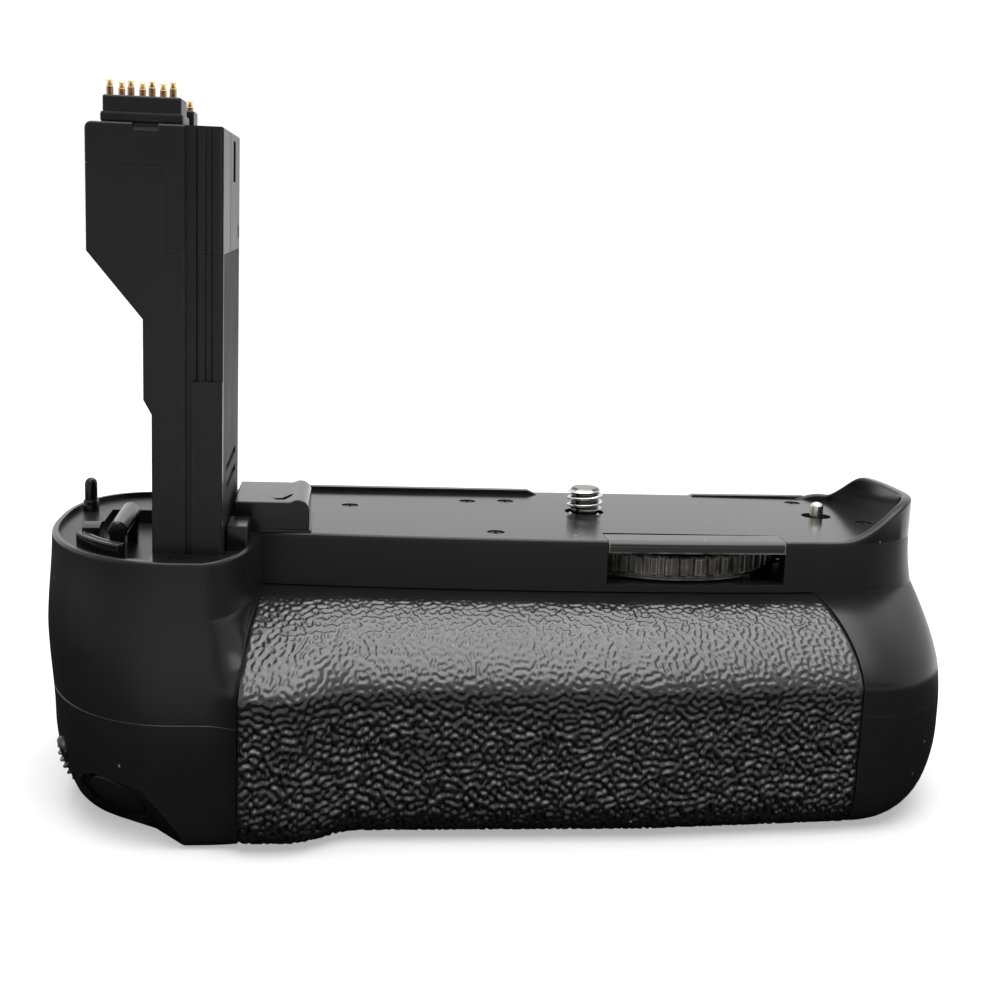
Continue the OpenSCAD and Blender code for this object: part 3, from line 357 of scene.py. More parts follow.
def body_rings(z, wall=0.0, seat=0.0, density=1.0):
    """Outlines of the body at the levels in the column z, drawn in by wall.
    The rubber's field is sunk by seat. Each outline is eight runs: two quarter rounds, the field,
    two quarter rounds, the back, the step and a last quarter round."""
    steps = int(quarter_steps * density)
    angle = np.linspace(0, np.pi / 2, steps)
    cosine = np.clip(np.cos(angle), 0, 1)
    sine = np.sin(angle)
    left = left_x(z) + wall
    right = right_x(z) - wall
    bulge = bulge_y(z) + wall
    r0 = rubber_left(z)
    r1 = rubber_right(z)
    y0 = front_y(r0, z, wall)
    y1 = front_y(r1, z, wall)
    y2 = front_y(r1, z, wall, shoulder_hollow)
    back = rear_reach - base_round(z, 3.0) - top_round(z, 2.0) - wall
    rim_back = bulge_rim_rear - wall
    back_left = rim_back + (back - rim_back) * smooth((-z - 3) / 6)
    field = np.linspace(0, 1, int(field_steps * density))
    field_x = r0 + 0.05 + (r1 - r0 - 0.1) * field
    run = np.linspace(0, 1, int(30 * density))[1:]
    step = np.linspace(0, 1, int(20 * density))[1:-1]
    soft_front = y1 + (y2 - y1) * smooth(angle / math.radians(35))
    xs = [left_centre[0] - (left_centre[0] - left) * cosine ** 0.95,
          corner_x + (r0 - corner_x) * sine,
          field_x,
          r1 + (right - r1) * sine ** 0.9,
          rear_right_x + (right - rear_right_x) * cosine[1:] ** 0.77,
          rear_right_x + (rear_step_x - rear_right_x) * run + 0 * z,
          rear_step_x + (rear_left_x - rear_step_x) * step + 0 * z,
          rear_left_x - (rear_left_x - left) * np.clip(sine[:-1], 0, 1) ** 0.77]
    ys = [left_centre[1] - (left_centre[1] - bulge) * sine ** 0.95,
          y0 + (bulge - y0) * cosine,
          front_y(field_x, z, wall) + seat,
          right_centre_y + (soft_front - right_centre_y) * cosine ** 0.9,
          right_centre_y + (back - right_centre_y) * sine[1:] ** 0.77,
          back + 0 * run,
          back + (back_left - back) * smooth(step),
          left_centre[1] + (back_left - left_centre[1]) * cosine[:-1] ** 0.77]
    x = np.concatenate(xs, axis=1)
    y = np.concatenate(ys, axis=1)
    return np.stack([x, y, z + 0 * x], axis=2)


def draw_in(rings, amount):
    """Rings moved inwards in plan, square to their outline, by an amount per ring or per point."""
    tangent = np.roll(rings, -1, axis=1) - np.roll(rings, 1, axis=1)
    inward = np.stack([-tangent[..., 1], tangent[..., 0]], axis=2)
    inward /= np.linalg.norm(inward, axis=2, keepdims=True) + 1e-9
    moved = rings.copy()
    moved[..., :2] += inward * np.broadcast_to(amount, rings.shape[:2])[..., None]
    return moved


def solid(name, points, faces):
    """Closed mesh object from points in millimetres, with its faces turned outwards."""
    mesh = bpy.data.meshes.new(name)
    mesh.from_pydata((points * MM).tolist(), [], faces)
    build = bmesh.new()
    build.from_mesh(mesh)
    bmesh.ops.recalc_face_normals(build, faces=build.faces)
    build.to_mesh(mesh)
    build.free()
    mesh.shade_smooth()
    made = bpy.data.objects.new(name, mesh)
    bpy.context.collection.objects.link(made)
    return made


def grid_faces(rows, columns):
    """Quads of a grid that is closed across its columns."""
    row, column = np.meshgrid(np.arange(rows - 1), np.arange(columns), indexing="ij")
    beside = (column + 1) % columns
    return np.stack([row * columns + column, row * columns + beside,
                     (row + 1) * columns + beside, (row + 1) * columns + column], axis=2).reshape(-1, 4)


def skin(name, rings, ring_shaped=False):
    """Skin over rings with equal counts: its ends are capped, or joined where the rings run round."""
    rows, columns = rings.shape[:2]
    if ring_shaped:
        rings = np.concatenate([rings, rings[:1]])
        faces = grid_faces(rows + 1, columns) % (rows * columns)
        return solid(name, rings[:-1].reshape(-1, 3), faces.tolist())
    faces = grid_faces(rows, columns).tolist()
    faces.append(list(range(columns)))
    faces.append(list(range((rows - 1) * columns, rows * columns)))
    return solid(name, rings.reshape(-1, 3), faces)


def prism(name, outline, low, high, axis="z"):
    """Outline of points carried straight along an axis."""
    outline = np.asarray(outline, float)
    ends = np.array([low, high], float)[:, None] + 0 * outline[None, :, 0]
    first = outline[None, :, 0] + 0 * ends
    second = outline[None, :, 1] + 0 * ends
    order = {"x": [ends, first, second], "y": [first, ends, second], "z": [first, second, ends]}
    return skin(name, np.stack(order[axis], axis=2))


def box(name, low, high):
    """Plain box between two corners."""
    outline = [(low[0], low[1]), (high[0], low[1]), (high[0], high[1]), (low[0], high[1])]
    return prism(name, outline, low[2], high[2])


def turn_to(direction):
    """Two directions square to the given one, and that one, as the rows of an array."""
    ahead = np.asarray(direction, float) / np.linalg.norm(direction)
    helper = np.array([0, 0, 1.0]) if abs(ahead[2]) < 0.9 else np.array([1.0, 0, 0])
    side = np.cross(helper, ahead)
    side /= np.linalg.norm(side)
    return np.stack([side, np.cross(ahead, side), ahead])


def lathe(name, profile, centre, direction=(0, 0, 1), count=64, ring_shaped=False):
    """Profile of radius and height turned round an axis through centre."""
    profile = np.asarray(profile, float)
    angle = np.arange(count) * 2 * np.pi / count
    local = np.stack([profile[:, :1] * np.cos(angle), profile[:, :1] * np.sin(angle),
                      profile[:, 1:] + 0 * angle], axis=2)
    return skin(name, local @ turn_to(direction) + np.asarray(centre, float), ring_shaped)


def drum(name, radius, low, high, centre, direction=(0, 0, 1), count=64):
    """Plain cylinder between two heights along a direction."""
    return lathe(name, [(radius, low), (radius, high)], centre, direction, count)


def settle(piece):
    """Puts the result of a piece's modifiers into its mesh."""
    graph = bpy.context.evaluated_depsgraph_get()
    done = bpy.data.meshes.new_from_object(piece.evaluated_get(graph))
    old = piece.data
    piece.modifiers.clear()
    piece.data = done
    done.name = piece.name
    bpy.data.meshes.remove(old)
    return piece


def carve(piece, cutters, operation="DIFFERENCE"):
    """Takes the cutters' volumes from a piece, or joins them to it."""
    for cutter in cutters:
        step = piece.modifiers.new("carve", "BOOLEAN")
        step.operation = operation
        step.solver = "MANIFOLD"
        step.object = cutter
    settle(piece)
    for cutter in cutters:
        old = cutter.data
        bpy.data.objects.remove(cutter)
        bpy.data.meshes.remove(old)
    return piece


def crisp(piece, degrees=32):
    """Smooth shading that stays sharp over edges above an angle, and follows the larger faces."""
    piece.data.shade_smooth()
    piece.data.set_sharp_from_angle(angle=math.radians(degrees))
    weighted = piece.modifiers.new("even_shading", "WEIGHTED_NORMAL")
    weighted.keep_sharp = True
    return piece


def soften(piece, width, segments=3, degrees=40):
    """Rounds the edges of a plain solid."""
    rounding = piece.modifiers.new("soft_edges", "BEVEL")
    rounding.width = width * MM
    rounding.segments = segments
    rounding.limit_method = "ANGLE"
    rounding.angle_limit = math.radians(degrees)
    return settle(piece)


def group(name, inputs, outputs):
    """Empty shader node group with named float inputs and outputs."""
    tree = bpy.data.node_groups.new(name, "ShaderNodeTree")
    for title, value in inputs.items():
        tree.interface.new_socket(title, in_out="INPUT", socket_type="NodeSocketFloat").default_value = value
    for title in outputs:
        tree.interface.new_socket(title, in_out="OUTPUT", socket_type="NodeSocketFloat")
    return tree, tree.nodes.new("NodeGroupInput").outputs, tree.nodes.new("NodeGroupOutput").inputs


def make_spark_grain():
    """Fine pitted texture that spark-cut mould steel leaves: two sizes of noise, and slow mottling."""
    tree, given, result = group("spark_grain", {"Fineness": 2600.0}, ["Height", "Mottle"])
    where = place(tree, "TexCoord").outputs["Object"]
    pits = place(tree, "TexNoise", {"Vector": where, "Scale": given["Fineness"],
                                    "Detail": 3.0, "Roughness": 0.65})
    mottle = place(tree, "TexNoise", {"Vector": where, "Scale": 55.0, "Detail": 5.0, "Roughness": 0.6})
    tree.links.new(pits.outputs[0], result["Height"])
    tree.links.new(mottle.outputs[0], result["Mottle"])
    return tree


def make_dust():
    """Sparse pale specks: the middles of a few cells out of many."""
    tree, given, result = group("dust", {"Density": 0.04, "Fineness": 420.0}, ["Mask"])
    where = place(tree, "TexCoord").outputs["Object"]
    cells = place(tree, "TexVoronoi", {"Vector": where, "Scale": given["Fineness"]})
    near = math_node(tree, "LESS_THAN", cells.outputs["Distance"], 0.085)
    pick = place(tree, "SeparateColor", {"Color": cells.outputs["Color"]}).outputs[0]
    chosen = math_node(tree, "LESS_THAN", pick, given["Density"])
    tree.links.new(math_node(tree, "MULTIPLY", near, chosen), result["Mask"])
    return tree


def make_edge_wear_and_highlight():
    """Rubbed edges, with a painted highlight along them: where the normal rounded over a small radius leaves the
    face's own.
    """
    tree, given, result = group("edge_wear_and_highlight", {"Radius": 0.0006, "Amount": 1.0}, ["Mask"])
    rounded = place(tree, "Bevel", {"Radius": given["Radius"]}, samples=4).outputs[0]
    plain = place(tree, "NewGeometry").outputs["Normal"]
    agree = place(tree, "VectorMath", {0: rounded, 1: plain}, operation="DOT_PRODUCT").outputs["Value"]
    bare = place(tree, "MapRange", {"Value": agree, "From Min": 0.985, "From Max": 0.82}).outputs[0]
    where = place(tree, "TexCoord").outputs["Object"]
    patchy = place(tree, "TexNoise", {"Vector": where, "Scale": 260.0, "Detail": 4.0}).outputs[0]
    worn = place(tree, "MapRange", {"Value": patchy, "From Min": 0.38, "From Max": 0.62}).outputs[0]
    both = math_node(tree, "MULTIPLY", bare, worn)
    tree.links.new(math_node(tree, "MULTIPLY", both, given["Amount"]), result["Mask"])
    return tree


spark_grain = make_spark_grain()
dust = make_dust()
edge_wear_and_highlight = make_edge_wear_and_highlight()


def use(tree, effect, **values):
    """Outputs of a shared effect placed in a material with its own values."""
    made = tree.nodes.new("ShaderNodeGroup")
    made.node_tree = effect
    for name, value in values.items():
        made.inputs[name.capitalize()].default_value = value
    return made.outputs


def mix_colour(tree, factor, first, second):
    """Colour between two colours."""
    return place(tree, "Mix", {0: factor, 6: first, 7: second}, data_type="RGBA").outputs[2]


def moulded(name, colour, worn, roughness=(0.28, 0.36), mirror=0.27, fineness=2600.0, depth=0.008,
            specks=0.04, wear_and_highlight=0.6):
    """Moulded plastic: sparked grain in the surface, slow mottling in the gloss, rubbed edges that also carry a
    painted highlight, and dust.
    """
    finish = bpy.data.materials.new(name)
    finish.use_nodes = True
    tree = finish.node_tree
    shader = tree.nodes["Principled BSDF"]
    grain = use(tree, spark_grain, fineness=fineness)
    rubbed_and_highlit = use(tree, edge_wear_and_highlight, amount=wear_and_highlight)["Mask"]
    speck = use(tree, dust, density=specks)["Mask"]
    # Edges turn paler: partly real rubbing, partly a painted highlight.
    base = mix_colour(tree, rubbed_and_highlit, colour, worn)
    tree.links.new(mix_colour(tree, speck, base, dust_grey), shader.inputs["Base Color"])
    gloss = place(tree, "MapRange", {"Value": grain["Mottle"], "From Min": 0.3, "From Max": 0.7,
                                     "To Min": roughness[0], "To Max": roughness[1]})
    tree.links.new(gloss.outputs[0], shader.inputs["Roughness"])
    bump = place(tree, "Bump", {"Height": grain["Height"], "Strength": 0.35, "Distance": depth * MM})
    tree.links.new(bump.outputs[0], shader.inputs["Normal"])
    shader.inputs["Specular IOR Level"].default_value = mirror
    return finish


def smooth_above(finish, level, roughness):
    """Makes a finish smoother above a level, as on a mating face."""
    tree = finish.node_tree
    shader = tree.nodes["Principled BSDF"]
    rough = shader.inputs["Roughness"].links[0].from_socket
    height = place(tree, "SeparateXYZ", {0: place(tree, "TexCoord").outputs["Object"]}).outputs[2]
    above = math_node(tree, "GREATER_THAN", height, level * MM)
    blend = place(tree, "Mix", {0: above, 2: rough, 3: roughness}, data_type="FLOAT").outputs[0]
    tree.links.new(blend, shader.inputs["Roughness"])
    return finish


def finished(piece, material, body="root", nodes=()):
    """Gives a piece its material, the body that carries it and the nodes that it stands for."""
    piece.data.materials.clear()
    piece.data.materials.append(material)
    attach(piece, body)
    if nodes:
        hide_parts(*nodes)
    return piece


def lip_rise(points):
    """Height of the lip over the plate: it climbs to the right end and sinks again along the back."""
    x = points[..., 0]
    y = points[..., 1]
    front = lip_height * smooth((x - body_right + band_right_inset + 16) / 16) * (1 - smooth((y - 7) / 13))
    back = 1.1 * smooth((x - rear_right_x) / 6) * smooth((y - 7) / 6)
    return np.maximum(front, back)


def column(*runs):
    """Levels from several runs as one column."""
    return np.concatenate([np.atleast_1d(run) for run in runs]).astype(float)[:, None]


def seat_depth(z):
    """The rubber's field is sunk below the band only."""
    return np.where(z > -band_height + 0.05, 0.0, rubber_seat)


def seam_share(rings):
    """The groove at the seam fades out towards the plain end."""
    return 1 - smooth((rings[..., 0] - seam_end[0]) / (seam_end[1] - seam_end[0]))


def upper_skin():
    """Skin of the upper half, with a rounded upper edge where there is no lip and a groove at the seam."""
    arc = np.linspace(0, np.pi / 2, 6)
    levels = column(-seam_depth, -seam_depth + seam_groove,
                    np.linspace(-23.6, -band_height, 44), -band_height + 0.1, np.linspace(-8.2, -0.8, 16),
                    -edge_round + edge_round * np.sin(arc))
    rings = body_rings(levels, 0.0, seat_depth(levels))
    top = column(np.zeros(len(levels) - len(arc)), edge_round * (1 - np.cos(arc)))
    no_lip = 1 - smooth(lip_rise(rings[-1:]) / 0.6)
    seam = np.clip(seam_groove - (levels + seam_depth), 0, None) * seam_share(rings)
    return skin("upper_housing_shell", draw_in(rings, top * no_lip + seam))


def lip_skin():
    """Wall of the lip: a section with a rounded top carried along the body's outline."""
    edge = body_rings(np.zeros((1, 1)))
    first = 2 * quarter_steps + field_steps
    along = slice(first, first + 2 * quarter_steps - 1)
    arc = np.linspace(0, np.pi / 2, 6)
    inset = np.concatenate([[0], edge_round * (1 - np.cos(arc)),
                            lip_wall - edge_round * (1 - np.cos(arc[::-1])), [lip_wall]])
    drop = np.concatenate([-edge_round + edge_round * np.sin(arc),
                           -edge_round + edge_round * np.sin(arc[::-1])])
    rise = lip_rise(edge)[0, along]
    sections = np.stack([draw_in(edge, amount)[0, along] for amount in inset], axis=1)
    sections[:, 1:-1, 2] = rise[:, None] + drop + 0.004
    sections[:, [0, -1], 2] = -1.0
    return skin("lip", sections)


def rim_line(wall):
    """Outline of the control end's rim, drawn in by wall and closed at its right side."""
    angle = np.linspace(0, np.pi / 2, 40)
    cosine = np.clip(np.cos(angle), 0, 1)
    sine = np.sin(angle)
    zero = np.zeros(1)
    left = left_x(zero) + wall
    bulge = bulge_y(zero) + wall
    right = rubber_left(zero) - wall
    band = band_y(rubber_left(zero))
    back = bulge_rim_rear - wall
    x = [left_centre[0] - (left_centre[0] - left) * cosine ** 0.95,
         corner_x + (right - corner_x) * sine, right,
         rear_left_x - (rear_left_x - left) * sine[:-1] ** 0.77]
    y = [left_centre[1] - (left_centre[1] - bulge) * sine ** 0.95, band + (bulge - band) * cosine, [back],
         left_centre[1] + (back - left_centre[1]) * cosine[:-1] ** 0.77]
    return np.stack([np.concatenate(x), np.concatenate(y)], axis=1)


def cavity_skin(low, high):
    """Hollow of the body: its outlines drawn in by the wall."""
    levels = column(np.linspace(low, high, 14))
    return skin("cavity", body_rings(levels, shell_wall, rubber_seat, 0.5))


def door_cutter(name):
    """Opening of the magazine door in the back."""
    outline = rounded(np.array(door_lo) - door_gap, np.array(door_hi) + door_gap, 3.0)
    return prism(name, outline, rear_reach - 6, rear_reach + 6, "y")


def rounded(low, high, radius, steps=8):
    """Rectangle with rounded corners."""
    angle = np.linspace(0, np.pi / 2, steps)
    corners = [(high[0] - radius, high[1] - radius, 0), (low[0] + radius, high[1] - radius, 1),
               (low[0] + radius, low[1] + radius, 2), (high[0] - radius, low[1] + radius, 3)]
    points = [np.stack([x + radius * np.cos(angle + turn * np.pi / 2),
                        y + radius * np.sin(angle + turn * np.pi / 2)], axis=1) for x, y, turn in corners]
    return np.concatenate(points)


def arc_wall():
    """Curved wall in the well: a section with a grooved top carried along a stretch of the rim's line."""
    inset = np.array([2.5, 2.5, 2.7, 3.2, 3.45, 3.7, 4.2, 4.4, 4.4])
    height = np.array([well_floor - 0.4, 1.2, 1.4, 1.4, 0.9, 1.4, 1.4, 1.2, well_floor - 0.4])
    lines = np.stack([rim_line(wall)[15:29] for wall in inset], axis=1)
    heights = np.broadcast_to(height[:, None], (*lines.shape[:2], 1))
    return skin("arc_wall", np.concatenate([lines, heights], axis=2))


def hook():
    """Small slanted catch on the well's floor."""
    outline = [(-29.2, well_floor - 0.4), (-24.6, well_floor - 0.4), (-24.6, 2.0), (-26.8, 2.4), (-29.2, 1.9)]
    return prism("hook", outline, -83.6, -81.0, "x")


def wedge():
    """Block beside the foot of the tower, with softened edges."""
    block = box("wedge", (tower_right + 0.25, -31.8, well_floor - 0.4), (tower_right + 3.5, -24, 3.1))
    return soften(block, 0.25)


def sill():
    """Raised part of the well's floor in front of the tower, as wide as the rim there."""
    block = box("sill", (tower_left + 0.1, -bulge_front - 2, well_floor - 0.6),
                (-57, tower_front - 0.25, sill_top))
    return carve(block, [prism("inside_rim", rim_line(0.5), -3, 3)], "INTERSECT")


def long_ridge():
    """Low ridge along the plate's back edge, slanted at its right end."""
    return prism("long_ridge", [(-50, -0.5), (-5.5, -0.5), (-8.5, 0.8), (-50, 0.8)], 15.4, 17.0, "y")


def short_ridge():
    """Thin ridge that leads to the lip at the plate's back edge."""
    return prism("short_ridge", [(22.5, -0.5), (46, -0.5), (46, 0.4), (24, 0.25)], 16.8, 18.4, "y")


def upper_housing():
    """The upper half with its well, holes, wheel slot and door opening."""
    shell = carve(upper_skin(), [lip_skin()], "UNION")
    well_box = box("well_box", (well_x[0] - 1.5, tower_front - 1.7, tower_foot - 1.2),
                   (well_x[1] + 1.5, tower_rear + 1.7, 1.0))
    carve(well_box, [prism("inside_rim", rim_line(0.8), tower_foot - 2, 2)], "INTERSECT")
    tower_way = box("tower_way", (well_x[0], tower_front - 0.2, pit_floor),
                    (well_x[1], tower_rear + 0.2, well_floor + 0.05))
    tower_seat = box("tower_seat", (tower_left - 0.2, tower_front - 0.2, tower_foot),
                     (well_x[1], tower_rear + 0.2, well_floor))
    carve(tower_way, [tower_seat], "UNION")
    carve(tower_way, [prism("inside_rim", rim_line(3.2), tower_foot - 1, 0)], "INTERSECT")
    hollow = carve(cavity_skin(-seam_depth - 1, -shell_wall), [well_box])
    well = carve(prism("well", rim_line(rim_wall), well_floor, 3.0), [sill()])
    cuts = [hollow, well, tower_way,
            drum("screw_hole", screw_radius + 0.33, -5, 5, (0, 0, 0)),
            drum("pin_recess", 2.7, -1.4, 3, (*pin_pos, 0)),
            box("wheel_slot", (slot_x[0], -40, slot_bottom), (slot_x[1], -18, 3)),
            drum("wheel_room", wheel_r + 0.5, slot_bottom, wheel_top + 0.4, (*wheel_pos, 0), count=96),
            door_cutter("door_way")]
    cuts += [drum("screw_seat", cover_screw_r + 0.1, -0.9, 2, spot, count=32) for spot in cover_screw_spots]
    cuts += [drum("button_hole", button_hole_r, rear_reach - 8, rear_reach + 4, (button_x, 0, level),
                  (0, 1, 0), 40) for level in button_levels[:2]]
    opened = carve(shell, cuts)
    relief = [arc_wall(), hook(), wedge(), long_ridge(), short_ridge()]
    return crisp(carve(opened, relief, "UNION"))


black_shell = smooth_above(moulded("black_shell", black, worn_highlit_black), -0.3, 0.17)
finished(upper_housing(), black_shell, nodes=["upper_housing"])

# Lower housing
# The lower half of the moulded body, from the parting line down to the flat base, in the same plastic.
# A flat cut across its left front corner carries the release button; screws hold it from below.
shutter_pos = np.array([-body_left + 13.5, -bulge_front + 5.3, -body_height + 5.3])
shutter_dir = np.array([-0.473, -0.63, -0.613])
shutter_r = 5.0
barrel_wall = 1.3
flat_r = 7.0
flat_steps = (0.0, 4.0, 8.0, 12.0, 16.0)
bend_r = 16.0
corner_reach = 200
corner_depth = 400
rise_side = np.array([0.88, -0.37, -0.29])
rise_start = 6.6
rise_turn = math.radians(15)
function_pos = np.array([-body_left + 4.6, -bulge_front + 13, -body_height + 10.4])
function_dir = np.array([-0.9, -0.25, -0.36])
function_r = 2.2
button_gap = 0.25
dial_pos = np.array([-body_left + 10.2, -bulge_front + 22, -body_height + 8.5])
dial_r = 8.0
dial_width = 6.0
dial_gap = 0.5
socket_r = 6.0
lever_pos = (button_x, -seam_depth - 12)
base_screw_spots = [(-52, -grip_front + 10.5), (26, -grip_front + 11.5),
                    (body_right - 8, -4), (-body_left + 8.5, 0)]
base_screw_r = 2.5


def lower_skin():
    """Skin of the lower half, with a groove at the seam and a flat base."""
    angle = np.radians(np.linspace(75, 0, 9))
    levels = column(-body_height, -body_height + 7.0 * (1 - np.sin(angle)), np.linspace(-36.4, -24.8, 24),
                    -seam_depth - seam_groove, -seam_depth)
    rings = body_rings(levels, 0.0, seat_depth(levels))
    seam = np.clip(seam_groove + (levels + seam_depth), 0, None) * seam_share(rings)
    return skin("lower_housing_shell", draw_in(rings, seam))


def corner_room(depth):
    """What the cut across the corner leaves: a flat round the button and below it, which bends away
    elsewhere, and a second flat that rises again beside the button."""
    bend = np.radians(np.linspace(0, 12, 5))
    arc = np.stack([flat_r + bend_r * np.sin(bend), bend_r * (np.cos(bend) - 1)], axis=1)
    cone = [(arc[-1, 0] + corner_reach, arc[-1, 1] - corner_reach * math.tan(bend[-1])),
            (arc[-1, 0] + corner_reach, -corner_depth)]
    profile = np.concatenate([arc, cone]) - np.array([0, depth])
    ahead = shutter_dir / np.linalg.norm(shutter_dir)
    down = np.array([0, 0, -1.0]) + ahead[2] * ahead
    down /= np.linalg.norm(down)
    rooms = [lathe("corner_room", profile, shutter_pos + down * step, shutter_dir, 96) for step in flat_steps]
    side = rise_side - ahead * (rise_side @ ahead)
    side /= np.linalg.norm(side)
    risen = math.cos(rise_turn) * ahead - math.sin(rise_turn) * side
    rooms.append(drum("risen_room", corner_reach, -corner_depth, -depth, shutter_pos + side * rise_start, risen))
    return carve(rooms[0], rooms[1:], "UNION")


def lower_housing():
    """The lower half with its corner cut, control holes, door opening, socket and screw seats."""
    cavity = cavity_skin(-body_height + shell_wall, -seam_depth + 1)
    hollow = carve(cavity, [corner_room(shell_wall)], "INTERSECT")
    cuts = [hollow,
            drum("release_hole", shutter_r + barrel_wall, -6, 12, shutter_pos, shutter_dir),
            drum("function_hole", function_r + button_gap, -6, 12, function_pos, function_dir, 40),
            drum("dial_room", dial_r + dial_gap, -dial_width / 2 - dial_gap, dial_width / 2 + dial_gap,
                 dial_pos, (0, 1, 0)),
            drum("socket_hole", socket_r, -60, -30, (0, 0, 0)),
            drum("low_button_hole", button_hole_r, 12, 24, (button_x, 0, button_levels[2]), (0, 1, 0), 40),
            drum("lever_hole", 1.65, 12, 24, (lever_pos[0], 0, lever_pos[1]), (0, 1, 0), 32),
            door_cutter("door_way")]
    cuts += [drum("screw_seat", base_screw_r + 0.2, -60, -body_height + 2.2, (*spot, 0), count=40)
             for spot in base_screw_spots]
    return crisp(carve(carve(lower_skin(), [corner_room(0)], "INTERSECT"), cuts))


finished(lower_housing(), black_shell, nodes=["lower_housing"])

# Front rubber
# A moulded rubber pad with a leather-like worm grain, glued into a sunk field of both halves.
# Its top follows the hollow shoulder and its lower edge wraps under the hand rest.
rubber_gap = 0.12
grain_length = 1.3
grain_depth = 0.55
grain_band = 0.36
swell_length = 3.4
swell_share = 0.25
slope_foot = 25.0
slope_blend = 7.0
slope_share = 0.32
block_rows = 42
block_columns = 24
rows_per_block = 5
columns_per_block = 19
rubber_colour = (0.0055, 0.0056, 0.006, 1)
# Painted shade: the grain's valleys are coloured darker than the rubber.
valley_shade_colour = (0.0015, 0.0015, 0.0017, 1)
crown_colour = (0.012, 0.0122, 0.013, 1)


def worm_field(rows, columns, cell, length, seed):
    """Seeded noise kept to a narrow band of wavelengths, in units of its own spread."""
    noise = np.random.default_rng(seed).standard_normal((rows, columns))
    ky = np.fft.fftfreq(rows, cell)[:, None]
    kx = np.fft.fftfreq(columns, cell)[None, :]
    pitch = np.hypot(kx, ky) * length
    band = np.exp(-((pitch - 1) / grain_band) ** 2)
    field = np.fft.ifft2(np.fft.fft2(noise) * band).real
    return field / field.std()


def rubber_levels(count):
    """Levels at equal steps along the pad's profile, from its lower edge to its top."""
    z = np.linspace(-body_height + 0.24, -band_height - 0.05, 4000)
    y = front_y(np.full_like(z, -10.0), z)
    length = np.concatenate([[0], np.cumsum(np.hypot(np.diff(y), np.diff(z)))])
    return np.interp(np.linspace(0, length[-1], count), length, z), length[-1]


def rubber_surface(z, share, height):
    """Point of the pad at a level and a share of its width, raised square to the surface by height."""
    low = rubber_left(z) + rubber_gap
    high = rubber_right(z) - rubber_gap
    x = low + (high - low) * share
    points = np.stack([x, front_y(x, z) - rubber_proud, z + 0 * x], axis=2)
    across = np.gradient(points, axis=1)
    up = np.gradient(points, axis=0)
    normal = np.cross(across, up)
    normal /= np.linalg.norm(normal, axis=2, keepdims=True)
    return points + normal * height[..., None]


def front_rubber():
    """Pad with a fine grained front, a coarse back and side walls that join the two."""
    rows = block_rows * rows_per_block + 1
    columns = block_columns * columns_per_block + 1
    z, tall = rubber_levels(rows)
    z = z[:, None]
    share = np.linspace(0, 1, columns)[None, :]
    cell = tall / (rows - 1)
    worms = worm_field(rows, columns, cell, grain_length, 11)
    worms = worms + swell_share * worm_field(rows, columns, cell, swell_length, 12)
    up = smooth((z + slope_foot) / slope_blend)
    dome = np.clip((0.9 - worms) / 2.0, 0, 1) ** 2
    valley = (1 - up) * dome + up * slope_share * smooth((-0.05 - worms) / 0.6)
    wide = (rubber_right(z) - rubber_left(z))
    edge = np.minimum(np.minimum(share, 1 - share) * wide, np.minimum(z - z[0], z[-1] - z) * 1.4)
    roll = 1 - smooth(edge / 1.1)
    height = -grain_depth * valley * (1 - roll) - 0.45 * roll ** 2
    front = rubber_surface(z, share, height)
    back = rubber_surface(z, share, np.full(height.shape, -rubber_thick + rubber_gap))
    back = back[::rows_per_block, ::columns_per_block]
    return pad_mesh(front, back, 1 - valley)


def pad_mesh(front, back, crown):
    """Joins a fine front grid and a coarse back grid by walls of one many-sided face per coarse step."""
    rows, columns = front.shape[:2]
    low_rows, low_columns = back.shape[:2]
    index = np.arange(rows * columns).reshape(rows, columns)
    behind = rows * columns + np.arange(low_rows * low_columns).reshape(low_rows, low_columns)

    def quads(grid):
        corners = [grid[:-1, :-1], grid[:-1, 1:], grid[1:, 1:], grid[1:, :-1]]
        return np.stack(corners, axis=2).reshape(-1, 4).tolist()

    faces = quads(index) + [face[::-1] for face in quads(behind)]
    edges = [(index[0], behind[0], columns_per_block), (index[-1], behind[-1], columns_per_block),
             (index[:, 0], behind[:, 0], rows_per_block), (index[:, -1], behind[:, -1], rows_per_block)]
    for fine, coarse, step in edges:
        faces += [fine[i * step:(i + 1) * step + 1].tolist() + [int(coarse[i + 1]), int(coarse[i])]
                  for i in range(len(coarse) - 1)]
    made = solid("front_rubber_pad", np.concatenate([front.reshape(-1, 3), back.reshape(-1, 3)]), faces)
    mark = made.data.attributes.new("crown", "FLOAT", "POINT")
    shares = np.concatenate([crown.ravel(), np.ones(back.size // 3)])
    mark.data.foreach_set("value", shares.astype(np.float32))
    return made


